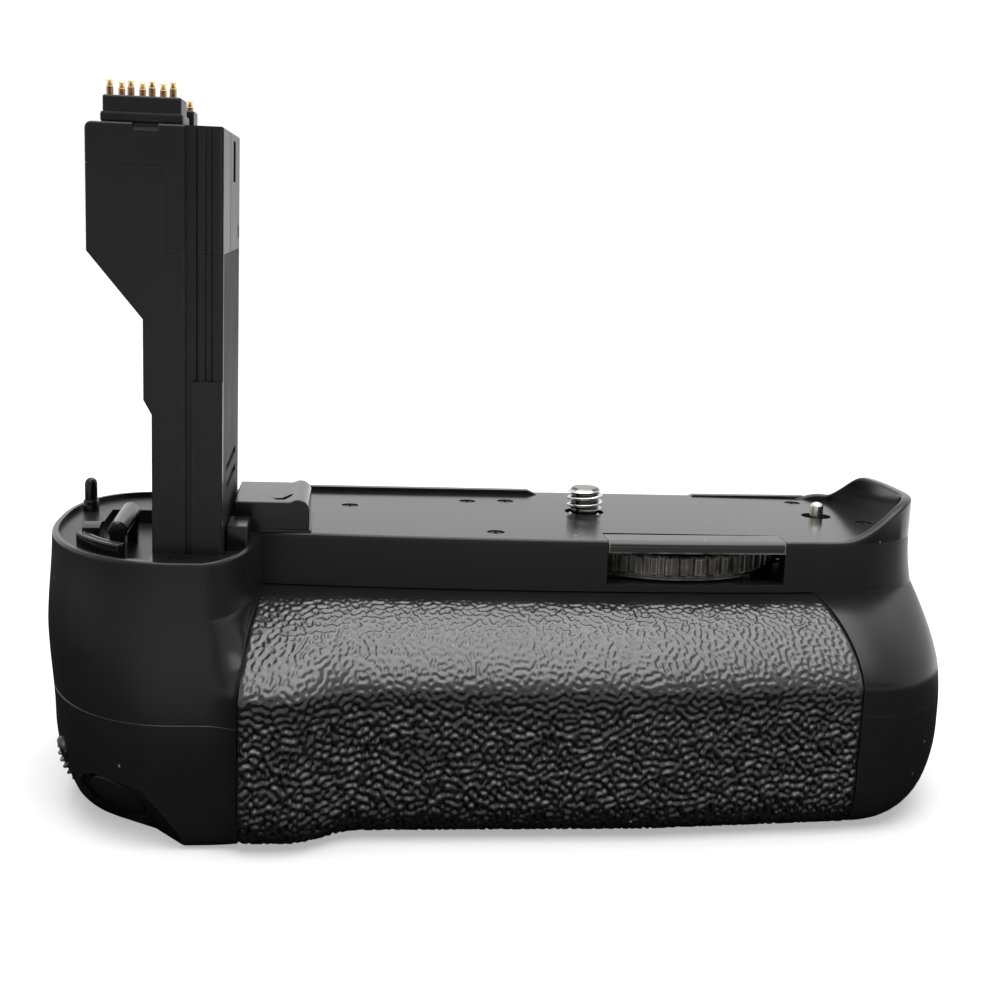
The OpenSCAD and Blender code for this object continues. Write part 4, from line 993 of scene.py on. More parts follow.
def grip_rubber():
    """Dull rubber: painted shade in the grain's valleys, and crowns rubbed paler in patches."""
    finish = bpy.data.materials.new("grip_rubber")
    finish.use_nodes = True
    tree = finish.node_tree
    shader = tree.nodes["Principled BSDF"]
    crown = place(tree, "Attribute", attribute_name="crown").outputs["Fac"]
    grain = use(tree, spark_grain, fineness=3400.0)
    speck = use(tree, dust, density=0.05)["Mask"]
    worn = math_node(tree, "MULTIPLY", crown, grain["Mottle"])
    # Painted shade in the valleys; patches of paler rubbing on the crowns.
    valley_shaded = mix_colour(tree, crown, valley_shade_colour, rubber_colour)
    base = mix_colour(tree, worn, valley_shaded, crown_colour)
    tree.links.new(mix_colour(tree, speck, base, dust_grey), shader.inputs["Base Color"])
    gloss = place(tree, "MapRange", {"Value": grain["Mottle"], "From Min": 0.3, "From Max": 0.7,
                                     "To Min": 0.25, "To Max": 0.33})
    tree.links.new(gloss.outputs[0], shader.inputs["Roughness"])
    bump = place(tree, "Bump", {"Height": grain["Height"], "Strength": 0.5, "Distance": 0.03 * MM})
    tree.links.new(bump.outputs[0], shader.inputs["Normal"])
    shader.inputs["Specular IOR Level"].default_value = 0.8
    return finish


finished(front_rubber(), grip_rubber(), nodes=["front_rubber"])

# Battery cover holder
# A black moulded block on the plate, beside the tower, whose slot stores the camera's own battery cover.
# Its top ramps up to a round right edge, a small tick is sunk in it, and a thin flange runs round its foot.
holder_x = (-60.9, -48.8)
holder_y = (-21.3, -3.0)
holder_top = 4.9
ramp_x = (-52.0, -51.0)
ramp_rise = 0.4
side_r = 1.8
flange = (0.35, 0.45)


def cover_holder():
    """Section with a ramp and a round right edge carried along the block, slotted from the left and
    sunk on top."""
    angle = np.radians(np.linspace(0, 90, 12))
    high = holder_top + ramp_rise
    edge = np.stack([holder_x[1] - side_r + side_r * np.cos(angle),
                     high - side_r + side_r * np.sin(angle)], axis=1)
    section = np.concatenate([[(holder_x[0], 0), (holder_x[1], 0)], edge,
                              [(ramp_x[1], high), (ramp_x[0], holder_top), (holder_x[0], holder_top)]])
    block = soften(prism("battery_cover_holder", section, *holder_y, "y"), 0.25, degrees=50)
    foot = box("flange", (holder_x[0], holder_y[0] - flange[0], 0),
               (holder_x[1] + flange[0], holder_y[1], flange[1]))
    tick = [(-55.2, -17.0), (-54.4, -17.8), (-53.3, -17.5), (-52.1, -14.4),
            (-51.4, -14.6), (-52.9, -19.0), (-54.2, -19.2)]
    return crisp(carve(carve(block, [foot], "UNION"),
                       [prism("tick", tick, holder_top - 0.7, 7),
                        box("cover_slot", (holder_x[0] - 1, -19, 1.2), (holder_x[0] + 8, -5, 3.0))]))


finished(cover_holder(), black_shell, nodes=["cover_holder"])

# Cover screws
# Small blackened cross-head screws that hold the top plate, sunk flush in their seats.
cross_length = 1.9
cross_width = 0.42
cross_depth = 0.4


def metal(name, colour, stain, roughness, streaks=(400.0, 400.0, 400.0)):
    """Bare metal: fine streaks in its gloss and faint stains in its colour."""
    finish = bpy.data.materials.new(name)
    finish.use_nodes = True
    tree = finish.node_tree
    shader = tree.nodes["Principled BSDF"]
    where = place(tree, "TexCoord").outputs["Object"]
    stretched = place(tree, "Mapping", {"Vector": where, "Scale": streaks}).outputs[0]
    streak = place(tree, "TexNoise", {"Vector": stretched, "Scale": 4.0, "Detail": 5.0}).outputs[0]
    patch = place(tree, "TexNoise", {"Vector": where, "Scale": 500.0, "Detail": 4.0}).outputs[0]
    stained = place(tree, "MapRange", {"Value": patch, "From Min": 0.45, "From Max": 0.7}).outputs[0]
    tree.links.new(mix_colour(tree, stained, colour, stain), shader.inputs["Base Color"])
    gloss = place(tree, "MapRange", {"Value": streak, "From Min": 0.3, "From Max": 0.7,
                                     "To Min": roughness[0], "To Max": roughness[1]})
    tree.links.new(gloss.outputs[0], shader.inputs["Roughness"])
    bump = place(tree, "Bump", {"Height": streak, "Strength": 0.15, "Distance": 0.01 * MM})
    tree.links.new(bump.outputs[0], shader.inputs["Normal"])
    shader.inputs["Metallic"].default_value = 1.0
    return finish


def cross_slot(centre, low, high, length, width):
    """Two crossed bars that cut a screw's drive."""
    half = length / 2
    thin = width / 2
    x, y = centre
    bars = [box("bar", (x - half, y - thin, low), (x + half, y + thin, high)),
            box("bar", (x - thin, y - half, low), (x + thin, y + half, high))]
    return carve(bars[0], bars[1:], "UNION")


def cover_screw(spot):
    """Head with a rounded rim and a cross slot."""
    profile = [(cover_screw_r, -0.9), (cover_screw_r, -0.35), (cover_screw_r - 0.12, -0.23),
               (cover_screw_r - 0.3, -0.2)]
    head = lathe("cover_screw_heads", profile, spot, count=40)
    return carve(head, [cross_slot(spot[:2], spot[2] - 0.2 - cross_depth, 1, cross_length, cross_width)])


def joined(pieces):
    """Separate solids in one piece."""
    return carve(pieces[0], pieces[1:], "UNION") if len(pieces) > 1 else pieces[0]


blackened_steel = metal("blackened_steel", (0.1, 0.1, 0.1, 1), (0.04, 0.04, 0.04, 1), (0.28, 0.42))
finished(crisp(joined([cover_screw(spot) for spot in cover_screw_spots])), blackened_steel,
         nodes=["cover_screws"])

# Locating pin
# A turned steel pin with a domed tip, pressed into the plate.
# Its flanged foot sits at the floor of a round recess.
pin_r = 1.2
pin_dome = np.radians(np.linspace(0, 84, 8))
pin_profile = [(0.9, -5.0), (0.9, -1.38), (2.45, -1.38), (2.58, -1.25), (2.45, -1.05), (1.4, -0.95),
               (pin_r, -0.7), *zip(pin_r * np.cos(pin_dome), 1.75 + 0.85 * np.sin(pin_dome))]
worn_steel = metal("worn_steel", (0.62, 0.6, 0.56, 1), (0.42, 0.38, 0.32, 1), (0.16, 0.3), (300, 300, 1500))
finished(crisp(lathe("locating_pin_turned", pin_profile, (*pin_pos, 0))), worn_steel,
         nodes=["locating_pin"])

# Guide peg and hinge bar
# A split plastic peg and a thick round bar on two legs, both moulded.
# They stand in the well of the control end.
peg_pos = (-body_left + 4.5, -2.2, -1.2)
peg_r = 1.05
hinge_r = 1.5
hinge_start = np.array([well_x[0] + 5, tower_front + 6.4, 1.8])
hinge_length = 16.0
hinge_leg = (2.4, 2.0)


def guide_peg():
    """Stepped peg with a domed tip, split across its head."""
    dome = np.radians(np.linspace(0, 84, 8))
    profile = [(1.35, 0.0), (1.35, 1.9), (1.2, 2.2), (peg_r, 2.25),
               *zip(peg_r * np.cos(dome), 5 + peg_r * np.sin(dome))]
    peg = lathe("split_guide_peg", profile, peg_pos, count=48)
    return carve(peg, [box("split", (-95, peg_pos[1] - 0.2, peg_pos[2] + 2.4), (-80, peg_pos[1] + 0.2, 9))])


def hinge_bar():
    """Round bar with chamfered ends, lying on two legs."""
    profile = [(hinge_r - 0.3, 0), (hinge_r, 0.3),
               (hinge_r, hinge_length - 0.3), (hinge_r - 0.3, hinge_length)]
    bar = lathe("hinge_bar_moulding", profile, hinge_start, (0, 1, 0))
    legs = [box("leg", (hinge_start[0] - hinge_leg[0] / 2, hinge_start[1] + y, tower_foot),
                (hinge_start[0] + hinge_leg[0] / 2, hinge_start[1] + y + hinge_leg[1], hinge_start[2]))
            for y in (0.05, hinge_length - hinge_leg[1] - 0.05)]
    return carve(bar, legs, "UNION")


finished(crisp(guide_peg()), black_shell, nodes=["guide_peg"])
finished(crisp(hinge_bar()), black_shell, nodes=["hinge_bar"])

# Tower
# The tall insert that fills the camera's battery bay: a moulded body, a cap over its head, and a side cover.
# The parts are satin black plastic, clipped together along a stepped parting line.
tower_height = 63.0
head_width = 19.6
head_left = tower_right - head_width
tower_wall = 1.4
cap_left = tower_right - 8.7
cap_joint = tower_height - 18.3
cap_line = tower_height - 5.8
face_step = 1.0
neck_step = 1.2
neck_drop = 9.7
neck_foot = 23.1
groove_x = tower_right - 5.5
rail_x = tower_right - 4.4
rail_top = 26.0
side_cover_thick = 1.2
parting = 0.02
strip_rib_r = 0.85
strip_rib_x = (groove_x + 2.3, groove_x + 4.5)
tower_edge = 0.35
corner_r = 1.0


def tower_outline(wall):
    """Outline of the tower's body from the front, drawn in by wall."""
    return [(tower_left + wall, tower_foot + wall), (tower_right - wall, tower_foot + wall),
            (tower_right - wall, cap_joint), (cap_left - wall, cap_joint), (cap_left - wall, cap_line),
            (head_left + wall, cap_line), (head_left + wall, cap_joint + wall * 0.4),
            (tower_left - neck_step + wall, cap_joint - neck_drop + wall * 0.4),
            (tower_left - neck_step + wall, neck_foot), (tower_left + wall, neck_foot - 2.2)]


def tower_block(name):
    """The whole tower as one block with soft edges and a round upper left corner."""
    turn = np.radians(np.linspace(90, 180, 7))
    corner = np.stack([head_left + corner_r + corner_r * np.cos(turn),
                       tower_height - corner_r + corner_r * np.sin(turn)], axis=1)
    lower = tower_outline(0)
    outline = np.concatenate([lower[:2], [(tower_right, tower_height)], corner, lower[6:]])
    return soften(prism(name, outline, tower_front, tower_rear, "y"), tower_edge)


def cap_region(gap):
    """Space of the cap: an L from the front, drawn back from the parting line by a gap."""
    outline = [(head_left - 5, cap_line + gap), (cap_left + gap, cap_line + gap),
               (cap_left + gap, cap_joint + gap), (tower_right + 5, cap_joint + gap),
               (tower_right + 5, tower_height + 5), (head_left - 5, tower_height + 5)]
    return prism("cap_region", outline, tower_front - 5, tower_rear + 5, "y")


def strip_ribs(low, high):
    """Half-round ribs that stand in the sunk strip at the front's right."""
    return [drum("strip_rib", strip_rib_r, low, high, (x, tower_front + face_step + 0.35, 0), count=40)
            for x in strip_rib_x]


def tower_body():
    """Body with a hollow, a side opening, a sunk strip with ribs and a rail at its foot."""
    body = carve(tower_block("tower_body_moulding"), [cap_region(-parting)])
    inner = tower_front + tower_wall + face_step
    cuts = [prism("hollow", tower_outline(tower_wall), inner, tower_rear - tower_wall, "y"),
            box("side_way", (tower_right - side_cover_thick, inner, tower_foot + tower_wall),
                (tower_right + 4, tower_rear - tower_wall, cap_joint + 1)),
            box("groove", (groove_x, tower_front - 1, tower_foot - 1),
                (rail_x, tower_front + 0.8, cap_joint + 1)),
            box("strip", (groove_x, tower_front - 1, rail_top),
                (tower_right + 4, tower_front + face_step, 66))]
    return crisp(carve(carve(body, cuts), strip_ribs(rail_top - 0.5, cap_joint - 0.02), "UNION"))


def head_cap():
    """Cap over the head: an L from the front, with the sunk strip, a notch, a side groove and side slots."""
    cap = carve(tower_block("tower_head_cap_moulding"), [cap_region(parting)], "INTERSECT")
    inner = tower_front + tower_wall + face_step
    back = tower_rear - tower_wall
    cuts = [box("head_room", (head_left + tower_wall, inner, cap_line - 1),
                (tower_right - tower_wall, back, tower_height - tower_wall)),
            box("neck_room", (cap_left + tower_wall, inner, cap_joint - 1),
                (tower_right - tower_wall, back, tower_height - tower_wall)),
            box("strip", (groove_x, tower_front - 1, cap_joint - 1),
                (tower_right + 4, tower_front + face_step, 70)),
            box("long_slot", (tower_right - 0.8, tower_rear - 15, 55.5),
                (tower_right + 2, tower_rear - 10, 61.8)),
            box("side_groove", (tower_right - 0.4, tower_front + 15, cap_joint - 1),
                (tower_right + 2, tower_front + 15.6, tower_height + 1)),
            box("short_slot", (tower_right - 0.8, tower_rear - 4, 46.5),
                (tower_right + 2, tower_rear - 2, 48.5)),
            prism("notch", [(tower_front - 1, tower_height - 1.5), (tower_front + 1.2, tower_height - 0.5),
                            (tower_front + 1.2, tower_height + 1), (tower_front - 1, tower_height + 1)],
                  head_left + 6.7, head_left + 10.4, "x")]
    return crisp(carve(carve(cap, cuts), strip_ribs(cap_joint + parting, tower_height - 0.4), "UNION"))


def side_cover():
    """Flat cover with soft edges and two shallow finger grooves."""
    low = (tower_right - side_cover_thick, tower_front + tower_wall + face_step + parting,
           tower_foot + tower_wall + parting)
    high = (tower_right, tower_rear - tower_wall - parting, cap_joint - parting)
    cover = soften(box("tower_side_cover_moulding", low, high), 0.2)
    grooves = [box("finger_groove", (tower_right - 0.4, low[1] + 6, z),
                   (tower_right + 1, high[1] - 6, z + 1.2)) for z in (8.0, 11.0)]
    return crisp(carve(cover, grooves))


tower_black = (0.011, 0.011, 0.0115, 1)
satin_black = moulded("tower_satin_black", tower_black, worn_highlit_black, (0.3, 0.4), 0.2, 1900.0, 0.01, 0.03)
dull_black = moulded("tower_dull_black", tower_black, worn_highlit_black, (0.5, 0.6), 0.08, 1900.0, 0.015, 0.03)
finished(tower_body(), satin_black, nodes=["tower_body"])
finished(head_cap(), satin_black, nodes=["tower_head_cap"])
finished(side_cover(), dull_black, nodes=["tower_side_cover"])

# Contacts on the tower
# A two-tier moulded block with staggered gilt spring pins, and a lower block behind it with two more.
# The pins are gold; their sleeves are painted brown as painted shade, and their tips are plain bright gold.
block_front = tower_front + 2
low_tier = (head_left + 1.9, tower_right - 5.9, 9.0, 1.6)
high_tier = (head_left + 2.2, tower_right - 6.2, 8.0, 2.3)
block_top = tower_height + low_tier[3] + high_tier[3]
contact_r = 0.5
contact_rise = 2.0
contact_pitch = 3.0
contact_spots = ([(head_left + 3.05 + contact_pitch * i, block_front + 2.2) for i in range(4)]
                 + [(head_left + 4.2 + contact_pitch * i, block_front + 6.2) for i in range(3)])
step_lo = (tower_right - 10, -19.0)
step_hi = (tower_right - 5.9, -13.0)
step_height = 3.0
step_spots = [(tower_right - 8.6, -16.0), (tower_right - 6.8, -16.0)]
# Painted shade: the lower part of each pin is coloured brown.
sleeve_shade_brown = (0.42, 0.26, 0.13, 1)
tip_gold = (0.95, 0.72, 0.34, 1)


def pin_seats(spots, top):
    """Countersunk seats of the pins."""
    profile = [(contact_r + 0.06, tower_height - 1), (contact_r + 0.06, top - 0.25),
               (contact_r + 0.35, top + 0.02), (contact_r + 0.35, top + 1)]
    return [lathe("pin_seat", profile, (*spot, 0), count=32) for spot in spots]


def contact_block():
    """Two softened tiers with a seat for every pin."""
    wide = soften(box("contact_block_moulding", (low_tier[0], block_front, tower_height),
                      (low_tier[1], block_front + low_tier[2], tower_height + low_tier[3])), 0.4, 2)
    tall = soften(box("upper_tier", (high_tier[0], block_front + 0.5, tower_height + 0.5),
                      (high_tier[1], block_front + 0.5 + high_tier[2], block_top)), 0.35)
    return crisp(carve(carve(wide, [tall], "UNION"), pin_seats(contact_spots, block_top)))


def step_block():
    """Softened block with a seat for each of its pins."""
    block = soften(box("step_block_moulding", (*step_lo, tower_height),
                       (*step_hi, tower_height + step_height)), 0.3)
    return crisp(carve(block, pin_seats(step_spots, tower_height + step_height)))


def spring_pin(name, spot, top):
    """Sleeve and a thinner plunger that ends in a dome."""
    dome = np.radians(np.linspace(0, 84, 7))
    plunger = contact_r - 0.1
    tip = top + contact_rise
    profile = [(contact_r, tower_height - 3.2), (contact_r, top + contact_rise * 0.6),
               (plunger, top + contact_rise * 0.64),
               *zip(plunger * np.cos(dome), tip + plunger * np.sin(dome))]
    return lathe(name, profile, (*spot, 0), count=32)


def gilt(name, tip):
    """Gold plate, with brown painted shade on the sleeves and plain gold towards the tips."""
    finish = metal(name, tip_gold, (0.8, 0.56, 0.24, 1), (0.14, 0.26))
    tree = finish.node_tree
    shader = tree.nodes["Principled BSDF"]
    bright = shader.inputs["Base Color"].links[0].from_socket
    height = place(tree, "SeparateXYZ", {0: place(tree, "TexCoord").outputs["Object"]}).outputs[2]
    up = place(tree, "MapRange", {"Value": height, "From Min": (tip - 0.8) * MM,
                                  "From Max": (tip - 0.3) * MM})
    tree.links.new(mix_colour(tree, up.outputs[0], sleeve_shade_brown, bright), shader.inputs["Base Color"])
    return finish


finished(contact_block(), satin_black, nodes=["contact_block"])
finished(step_block(), satin_black, nodes=["step_block"])
finished(crisp(joined([spring_pin("contact_spring_pins", spot, block_top) for spot in contact_spots])),
         gilt("gilt_pins", block_top + contact_rise), nodes=["contact_pins"])
finished(crisp(joined([spring_pin("step_spring_pins", spot, tower_height + step_height - 0.6)
                       for spot in step_spots])),
         gilt("gilt_step_pins", tower_height + step_height - 0.6 + contact_rise),
         nodes=["step_pins"])

# Thumb wheel and trim bar
# A ridged plastic ring that the thumb turns through the slot in the band; its inner teeth drive the screw.
# A glossy bar with a round upper edge closes the slot above it.
wheel_thick = 3.4
wheel_bottom = wheel_top - wheel_thick
wheel_ridges = 50
wheel_teeth = 58
ridge_height = 0.8
wheel_chamfer = 0.35
tooth_foot = 18.05
tooth_tip = 17.1
guide_r = (18.3, 19.3)
guide_depth = 0.7
trim_height = 2.0
trim_round = 0.9
trim_proud = 0.25


def teeth_wave(angle, count, foot, tip):
    """1 on a tooth's tip and 0 between teeth, with straight flanks: foot and tip are shares of the pitch."""
    offset = np.abs((angle * count / (2 * np.pi) + 0.5) % 1 - 0.5)
    return np.clip((foot / 2 - offset) / (foot / 2 - tip / 2), 0, 1)


def toothed_ring(name, section, centre, direction=(0, 0, 1)):
    """Ring whose section is a closed run of (radius per angle, height).
    The radius may change round the ring."""
    count = len(section[0][0])
    angle = np.arange(count) * 2 * np.pi / count
    local = np.stack([np.stack([radius * np.cos(angle), radius * np.sin(angle), height + 0 * angle], axis=1)
                      for radius, height in section])
    return skin(name, local @ turn_to(direction) + np.asarray(centre, float), ring_shaped=True)


def thumb_wheel():
    """Ridged ring with chamfered edges, inner teeth and a guide ring below."""
    count = wheel_ridges * wheel_teeth // 2
    angle = np.arange(count) * 2 * np.pi / count
    outer = wheel_r - ridge_height * (1 - teeth_wave(angle, wheel_ridges, 0.62, 0.45))
    mesh_turn = np.pi / wheel_teeth + math.atan2(-wheel_pos[1], -wheel_pos[0])
    inner = tooth_foot - (tooth_foot - tooth_tip) * teeth_wave(angle - mesh_turn, wheel_teeth, 0.6, 0.2)
    section = [(outer - wheel_chamfer, wheel_bottom), (outer, wheel_bottom + wheel_chamfer),
               (outer, wheel_top - wheel_chamfer), (outer - wheel_chamfer, wheel_top),
               (inner, wheel_top), (inner, wheel_bottom)]
    ring = toothed_ring("ridged_thumb_wheel", section, (*wheel_pos, 0))
    guide = lathe("guide", [(guide_r[1], wheel_bottom - guide_depth), (guide_r[1], wheel_bottom + 0.2),
                            (guide_r[0], wheel_bottom + 0.2), (guide_r[0], wheel_bottom - guide_depth)],
                  (*wheel_pos, 0), count=96, ring_shaped=True)
    return crisp(carve(ring, [guide], "UNION"), 28)


def trim_bar():
    """Section with a round upper front edge, carried along the band's bow."""
    x = np.linspace(slot_x[0] + 0.1, slot_x[1] - 0.1, 40)
    arc = np.radians(np.linspace(180, 90, 9))
    depth = np.concatenate([[0, 0], trim_round + trim_round * np.cos(arc), [5.5, 5.5]])
    height = np.concatenate([[-trim_height, -trim_round - 0.1], -trim_round + trim_round * np.sin(arc),
                             [0, -trim_height]])
    y = band_y(x)[:, None] - trim_proud + depth[None, :]
    return crisp(skin("slot_trim_bar", np.stack([x[:, None] + 0 * y, y, height + 0 * y], axis=2)))


wheel_black = (0.04, 0.039, 0.037, 1)
# Pale colour of rubbed edges on the wheel, dial and trim; it is also a painted highlight along them.
wheel_worn_highlit = (0.5, 0.48, 0.45, 1)
gloss_black = moulded("trim_gloss_black", black, wheel_worn_highlit, (0.14, 0.22), 0.5, 1500.0, 0.01, 0.12, 0.7)
worn_highlit_ridges = moulded("worn_highlit_ridge_black", wheel_black, wheel_worn_highlit, (0.2, 0.34), 0.7, 1500.0, 0.03, 0.25, 1.0)
finished(thumb_wheel(), worn_highlit_ridges, "wheel", ["attachment_wheel"])
finished(trim_bar(), gloss_black, nodes=["wheel_trim"])

# Camera screw
# A plated steel screw with a rolled quarter-inch thread, an undercut neck and a chamfered tip.
# It turns in a brass bush and goes up into the camera's tripod socket.
screw_rise = 4.5
thread_pitch = 1.27
thread_depth = 0.72
neck_r = 2.45
spindle_r = 2.0
thread_low = 0.35
spindle_low = -12.2


def thread_wave(angle, z, pitch):
    """Height of a rolled thread on a right-hand helix: 0 in its root and 1 on its crest, both softly
    rounded."""
    phase = (z / pitch - angle / (2 * np.pi)) % 1
    slope = 1 - np.abs(2 * phase - 1)
    return smooth(np.clip((slope - 0.14) / 0.72, 0, 1))


def threaded(angle, z, low, high, radius):
    """Radius of the thread between two levels: it grows out of its root at the low end, and a chamfer
    cuts it at the tip."""
    fade = smooth((z - low) / 0.5)
    cut = radius - np.clip(z - (high - 0.9), 0, None)
    root = radius - thread_depth
    return np.minimum(root + thread_depth * fade * thread_wave(angle, z, thread_pitch), cut)


def camera_screw():
    """Spindle, neck and threaded shank as one turned surface."""
    count = 96
    angle = np.arange(count) * 2 * np.pi / count
    plain = np.array([(spindle_r, spindle_low), (spindle_r, -2.61), (2.78, -2.6), (2.78, -0.3),
                      (neck_r, -0.1)])
    z = np.linspace(thread_low - 0.2, screw_rise, 130)[:, None]
    shank = threaded(angle[None, :], z, thread_low, screw_rise, screw_radius)
    radius = np.concatenate([plain[:, :1] + 0 * angle, shank, np.full((1, count), 1.9)])
    height = np.concatenate([plain[:, 1:] + 0 * angle, z + 0 * angle,
                             np.full((1, count), screw_rise + 0.005)])
    rings = np.stack([radius * np.cos(angle), radius * np.sin(angle), height], axis=2)
    made = skin("camera_screw_turned", rings)
    crest = smooth((radius - screw_radius + thread_depth) / (0.6 * thread_depth))
    mark = made.data.attributes.new("crest", "FLOAT", "POINT")
    mark.data.foreach_set("value", crest.ravel().astype(np.float32))
    return crisp(made, 50)


def paint_root_shade(finish):
    """Painted shade in the roots of a thread, by its crest attribute."""
    tree = finish.node_tree
    shader = tree.nodes["Principled BSDF"]
    unshaded = shader.inputs["Base Color"].links[0].from_socket
    crest = place(tree, "Attribute", attribute_name="crest").outputs["Fac"]
    tree.links.new(mix_colour(tree, crest, painted_root_shade, unshaded), shader.inputs["Base Color"])
    return finish


# Painted shade: the thread's roots are coloured dark.
painted_root_shade = (0.14, 0.135, 0.13, 1)
plated_steel = paint_root_shade(metal("plated_steel", (0.78, 0.78, 0.79, 1), (0.55, 0.54, 0.52, 1),
                                    (0.08, 0.18), (300, 300, 900)))
finished(camera_screw(), plated_steel, "screw", ["camera_screw"])

# Release button and its barrel
# A domed gloss button, tilted across the lower left front corner, in a moulded barrel that fills its hole.
shutter_crown = 0.9


def release_button():
    """Drum with a shallow dome and a stem behind it."""
    dome = np.radians(np.linspace(6, 87, 14))
    profile = [(1.5, -5.0), (1.5, -2.8), (shutter_r, -2.8), (shutter_r, -0.5),
               *zip(shutter_r * np.cos(dome), -0.5 + shutter_crown * np.sin(dome))]
    return crisp(lathe("release_button_cap", profile, shutter_pos, shutter_dir))


def release_barrel():
    """Tube with a rounded mouth."""
    outer = shutter_r + barrel_wall - 0.05
    inner = shutter_r + button_gap
    profile = [(outer, -8.6), (outer, -0.8), (outer - 0.2, -0.6),
               (inner + 0.3, -0.6), (inner, -0.9), (inner, -8.6)]
    return crisp(lathe("release_button_barrel", profile, shutter_pos, shutter_dir, ring_shaped=True))


button_black = moulded("button_gloss_black", black, worn_highlit_black, (0.2, 0.3), 0.4, 1800.0, 0.006, 0.03)
finished(release_button(), button_black, "shutter", ["shutter_button"])
finished(release_barrel(), black_shell, nodes=["shutter_ring"])

# Command dial and function button
# A toothed wheel on a steel axle in the left end, and a small round button above it, both moulded.
dial_teeth = 40
tooth_height = 0.6
dial_chamfer = 0.5
axle_bore = 1.25
rim_inner = dial_r - 2
hub_r = 2.6
web_sink = 1.0


def command_dial():
    """Toothed ring with sunk sides and a bored hub."""
    count = dial_teeth * 16
    angle = np.arange(count) * 2 * np.pi / count
    flat = 0 * angle
    outer = dial_r - tooth_height * (1 - teeth_wave(angle, dial_teeth, 0.75, 0.3))
    half = dial_width / 2
    right = [(outer, half - dial_chamfer), (outer - dial_chamfer, half), (rim_inner + flat, half),
             (rim_inner + flat, half - web_sink), (hub_r + flat, half - web_sink), (hub_r + flat, half),
             (axle_bore + flat, half)]
    left = [(radius, -height) for radius, height in reversed(right)]
    return crisp(toothed_ring("command_dial_wheel", right + left, dial_pos, (0, 1, 0)), 28)


def function_button():
    """Small button with a slanted rim and a dished top."""
    profile = [(function_r, -3.0), (function_r, 0.15), (function_r - 0.35, 0.62), (function_r - 0.6, 0.68),
               (function_r - 1.2, 0.55), (0.2, 0.5)]
    return crisp(lathe("function_button_cap", profile, function_pos, function_dir, 48))


finished(command_dial(), worn_highlit_ridges, "dial", ["command_dial"])
finished(function_button(), button_black, "function", ["function_button"])

# Rear buttons and power lever
# Three dished buttons in a column on the back of the control end, and a turning lever below them.
rear_button_r = 2.6
rear_button_depth = 5.6
lever_r = 3.6
lever_depth = 5.0


def rear_button(name, level):
    """Button with a flange inside, a slanted rim and a dished top."""
    y = rear_reach
    r = rear_button_r
    profile = [(r + 0.6, y - rear_button_depth), (r + 0.6, y - rear_button_depth + 0.7),
               (r, y - rear_button_depth + 0.7), (r, y + 0.3), (r - 0.3, y + 0.66), (r - 0.6, y + 0.7),
               (r - 1.2, y + 0.55), (0.2, y + 0.5)]
    return crisp(lathe(name, profile, (button_x, 0, level), (0, 1, 0), 48))


def power_lever():
    """Disc with a raised finger tab and a shaft."""
    profile = [(1.55, rear_reach - lever_depth), (1.55, rear_reach + 0.2), (lever_r, rear_reach + 0.2),
               (lever_r, rear_reach + 1.1), (lever_r - 0.3, rear_reach + 1.4), (0.2, rear_reach + 1.4)]
    disc = lathe("power_lever_disc", profile, (lever_pos[0], 0, lever_pos[1]), (0, 1, 0))
    tab = soften(box("tab", (lever_pos[0] - lever_r - 1.2, rear_reach + 0.3, lever_pos[1] - 0.8),
                     (lever_pos[0] + 0.4, rear_reach + 2.1, lever_pos[1] + 0.8)), 0.3)
    return crisp(carve(disc, [tab], "UNION"))


for key, level in zip(("upper", "middle", "lower"), button_levels):
    finished(rear_button(key + "_rear_button_cap", level), button_black, key + "_key",
             [key + "_rear_button"])
finished(power_lever(), button_black, "lever", ["power_lever"])

# Magazine door and release knob
# The back plate of the battery magazine, flush with the body, and the turning knob that locks it.
# The door is moulded in the body's plastic; the knob has a raised bar between two finger hollows.
door_thick = 2.4
door_round = 2.7
knob_r = 8.0
knob_gap = 0.4
knob_sink = 1.2
knob_x = 34.0
knob_z = -25.75
knob_shaft_r = 2.5
latch_thick = 1.4


def magazine_door():
    """Rounded plate with a knob recess and a row of finger ridges at its left end."""
    plate = soften(prism("magazine_door_plate", rounded(np.array(door_lo), np.array(door_hi), door_round),
                         rear_reach - door_thick, rear_reach, "y"), 0.35, degrees=60)
    floor = rear_reach - knob_sink
    cuts = [drum("knob_recess", knob_r + knob_gap, floor, rear_reach + 3, (knob_x, 0, knob_z), (0, 1, 0), 96),
            drum("shaft_bore", knob_shaft_r + 0.05, 0, rear_reach + 3, (knob_x, 0, knob_z), (0, 1, 0), 48)]
    cuts += [prism("finger_groove", rounded((x, -32.0), (x + 1.0, -18.5), 0.49),
                   rear_reach - 0.5, rear_reach + 3, "y") for x in np.arange(6) * 2.2 - 67.0]
    return crisp(carve(plate, cuts))


def release_knob():
    """Disc with a soft rim, two finger hollows, a raised bar and a shaft."""
    floor = rear_reach - knob_sink
    low = floor - door_thick + knob_sink - latch_thick - 0.3
    top = floor + knob_sink + 0.5
    profile = [(knob_shaft_r, low), (knob_shaft_r, floor + 0.1), (knob_r, floor + 0.1), (knob_r, top - 0.3),
               (knob_r - 0.3, top), (0.2, top)]
    disc = lathe("release_knob_disc", profile, (knob_x, 0, knob_z), (0, 1, 0), 96)
    hollows = [drum("finger_hollow", 3.0, floor + knob_sink - 0.4, top + 3,
                    (knob_x, 0, knob_z + way * knob_r * 0.62), (0, 1, 0), 48) for way in (-1, 1)]
    bar = soften(box("bar", (knob_x - knob_r + 0.8, floor + 0.5, knob_z - 1.4),
                     (knob_x + knob_r - 0.8, floor + knob_sink + 1.7, knob_z + 1.4)), 0.4)
    return crisp(carve(carve(disc, hollows), [bar], "UNION"))


finished(magazine_door(), black_shell, "magazine", ["magazine_door"])
finished(release_knob(), button_black, "knob", ["release_knob"])

